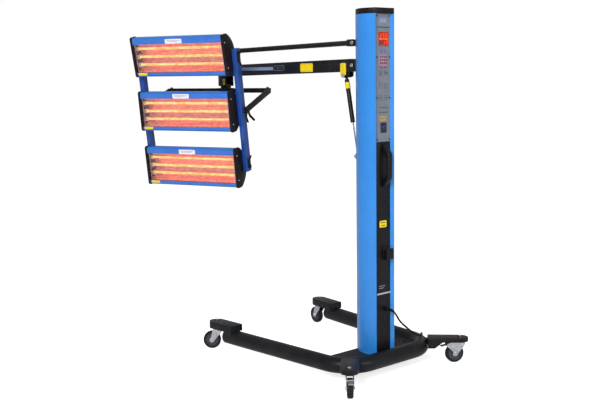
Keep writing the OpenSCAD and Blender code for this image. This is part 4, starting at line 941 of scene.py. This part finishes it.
def pin_end(node, pivot, way, near_mm):
    """Where a line through a pivot leaves a solid, going by the solid's points near that line."""
    reach = 0.0
    for vertex in frame["nodes"][node].data.vertices:
        out = (vertex.co - pivot).dot(way)
        if ((vertex.co - pivot) - out * way).length < near_mm * MM:
            reach = max(reach, out)
    return pivot + reach * way


def pivot_of(joint):
    """A point on a joint's axis."""
    return Vector(joints[joint]["pos_m"])


NEAR_PIN_MM = 16
ROD_PIN = pivot_of("head_level") + pivot_of("link_swing") - pivot_of("arm_lift")
PINS = (("arm_bracket", "stand", pivot_of("arm_lift")), ("arm_bracket", "stand", pivot_of("link_swing")),
        ("head_box", "head", pivot_of("head_level")), ("head_box", "head", ROD_PIN),
        ("strut_bracket", "arm", pivot_of("strut_top_swing")),
        ("strut_foot", "stand", pivot_of("strut_foot_swing")))
for i, (node, body, pivot) in enumerate(PINS):
    for side in (-1, 1):
        way = Vector((0, side, 0))
        piece = copied(bolt_head, f"pivot_bolt_{i}_{'near' if side < 0 else 'far'}")
        dressed(piece, zinc, body, looking(pin_end(node, pivot, way, NEAR_PIN_MM), way))
bpy.data.objects.remove(bolt_head)
print("bolt heads on", len(PINS), "pivots")

# %% [markdown]
# Two screws hold each end cap of a cassette. They sit forward of the rails, because further back they would
# meet them when the cassette tilts.

# %% Screws of the end caps
# A round-headed screw: its last ring goes back down, which leaves the socket
screw = turned_piece("screw", [(4.2, 0), (4.2, 0.8), (3.6, 1.8), (2.2, 2.5), (1.6, 2.5), (1.4, 1.3)],
                     sides=20)
CAP_SCREWS, NEAR_SCREW_MM = ((72, 70), (72, -58)), 60
for lamp in LAMPS:
    for side in (-1, 1):
        for k, (x, z) in enumerate(CAP_SCREWS):
            start = lamp_place(lamp) @ Vector((x * MM, 0, z * MM))
            way = (lamp_place(lamp).to_3x3() @ Vector((0, side, 0))).normalized()
            piece = copied(screw, f"cap_screw_{lamp}_{'left' if side < 0 else 'right'}_{k}")
            dressed(piece, zinc, frame["nodes"]["caps_" + lamp]["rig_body"],
                    looking(pin_end("caps_" + lamp, start, way, NEAR_SCREW_MM), way))
bpy.data.objects.remove(screw)
print("screws on each cassette:", 2 * len(CAP_SCREWS))

# %% [markdown]
# The floor and the background are one plain white, as in a product photograph. The floor is a wide pale
# disc and the sky is white light. The camera sees both as white, and a Light Path node lets less of that
# light fall on the machine, so that black stays black. Two large soft lamps stand on the camera's side:
# the key light gives shape, and the fill light opens the shadows.

# %% Studio
FLOOR_R, LAMP_SIZE, KEY_WATTS, FILL_WATTS = 60, 2.0, 215, 60
WORLD_GIVES, WORLD_SEEN, FLOOR_GIVES, FLOOR_SEEN = 0.42, 1.0, 0.0, 0.7


def studio_lamp(name, place, target, watts):
    """A round soft lamp that stands at a place and looks at a target."""
    data = bpy.data.lights.new(name, "AREA")
    data.shape, data.size, data.energy = "DISK", LAMP_SIZE, watts
    lamp_object = bpy.data.objects.new(name, data)
    bpy.context.scene.collection.objects.link(lamp_object)
    lamp_object.matrix_world = looking(Vector(place), Vector(place) - Vector(target))


deselect()
bpy.ops.mesh.primitive_circle_add(vertices=64, radius=FLOOR_R, fill_type="NGON", location=(0, 0, 0))
floor = bpy.context.view_layer.objects.active
floor.name = "studio_floor"
paper, _, _ = start_finish("studio_paper", Base_Color=linear("#fafafa"), Roughness=0.9,
                           Emission_Color=(1, 1, 1, 1))
floor.data.materials.append(paper)
world = bpy.data.worlds.new("studio")
world.use_nodes = True
world.node_tree.nodes["Background"].inputs["Color"].default_value = (1, 1, 1, 1)
for tree, node, socket, given, seen in (
        (world.node_tree, "Background", "Strength", WORLD_GIVES, WORLD_SEEN),
        (paper.node_tree, "Principled BSDF", "Emission Strength", FLOOR_GIVES, FLOOR_SEEN)):
    ray = add(tree, "LightPath")
    share = add(tree, "MapRange", {"To Min": given, "To Max": seen}, {"Value": ray.outputs["Is Camera Ray"]})
    tree.links.new(share.outputs["Result"], tree.nodes[node].inputs[socket])
bpy.context.scene.world = world
bpy.context.scene.view_settings.view_transform = "Standard"
studio_lamp("key", (2.5, -4.5, 3.2), (-0.3, 0, 0.9), KEY_WATTS)
studio_lamp("fill", (4.5, 1.0, 2.2), (0, 0, 0.9), FILL_WATTS)
print("studio ready")

# %% [markdown]
# A strap keeps the wound cord together. It is a rounded slab whose two flat sides are inset and bridged,
# which leaves a thin band, and a small buckle sits on its outer side.

# %% Strap of the coil
STRAP_SIZE, STRAP_CORNER, STRAP_WALL, STRAP_RING_R, STRAP_MID_Z = (37, 40, 12), 9, 1.2, 50, 20.2
# Length, width, height, corner radius and broken edge of the buckle, and its place on the strap
BUCKLE, BUCKLE_PLACE = (5, 14, 15, 1.5, 1), (20 * MM, 3 * MM, -1.5 * MM)
strap = hollowed(slab("coil_tie", *STRAP_SIZE, STRAP_CORNER, corners=5), STRAP_WALL)
buckle = slab("buckle", *BUCKLE)
buckle.data.transform(Matrix.Translation(BUCKLE_PLACE))
strap = joined("coil_tie", [strap, buckle])
# From the coil's centre towards its far side, where the strap holds the turns
strap_way = Vector((-1, 0.35, 0)).normalized()
strap_place = looking(Vector((*COIL_CENTRE, STRAP_MID_Z)) * MM + strap_way * STRAP_RING_R * MM,
                      Vector((0, 0, 1)).cross(strap_way), strap_way)
dressed(strap, abs_black, "stand", strap_place)
print("strap round the coil")
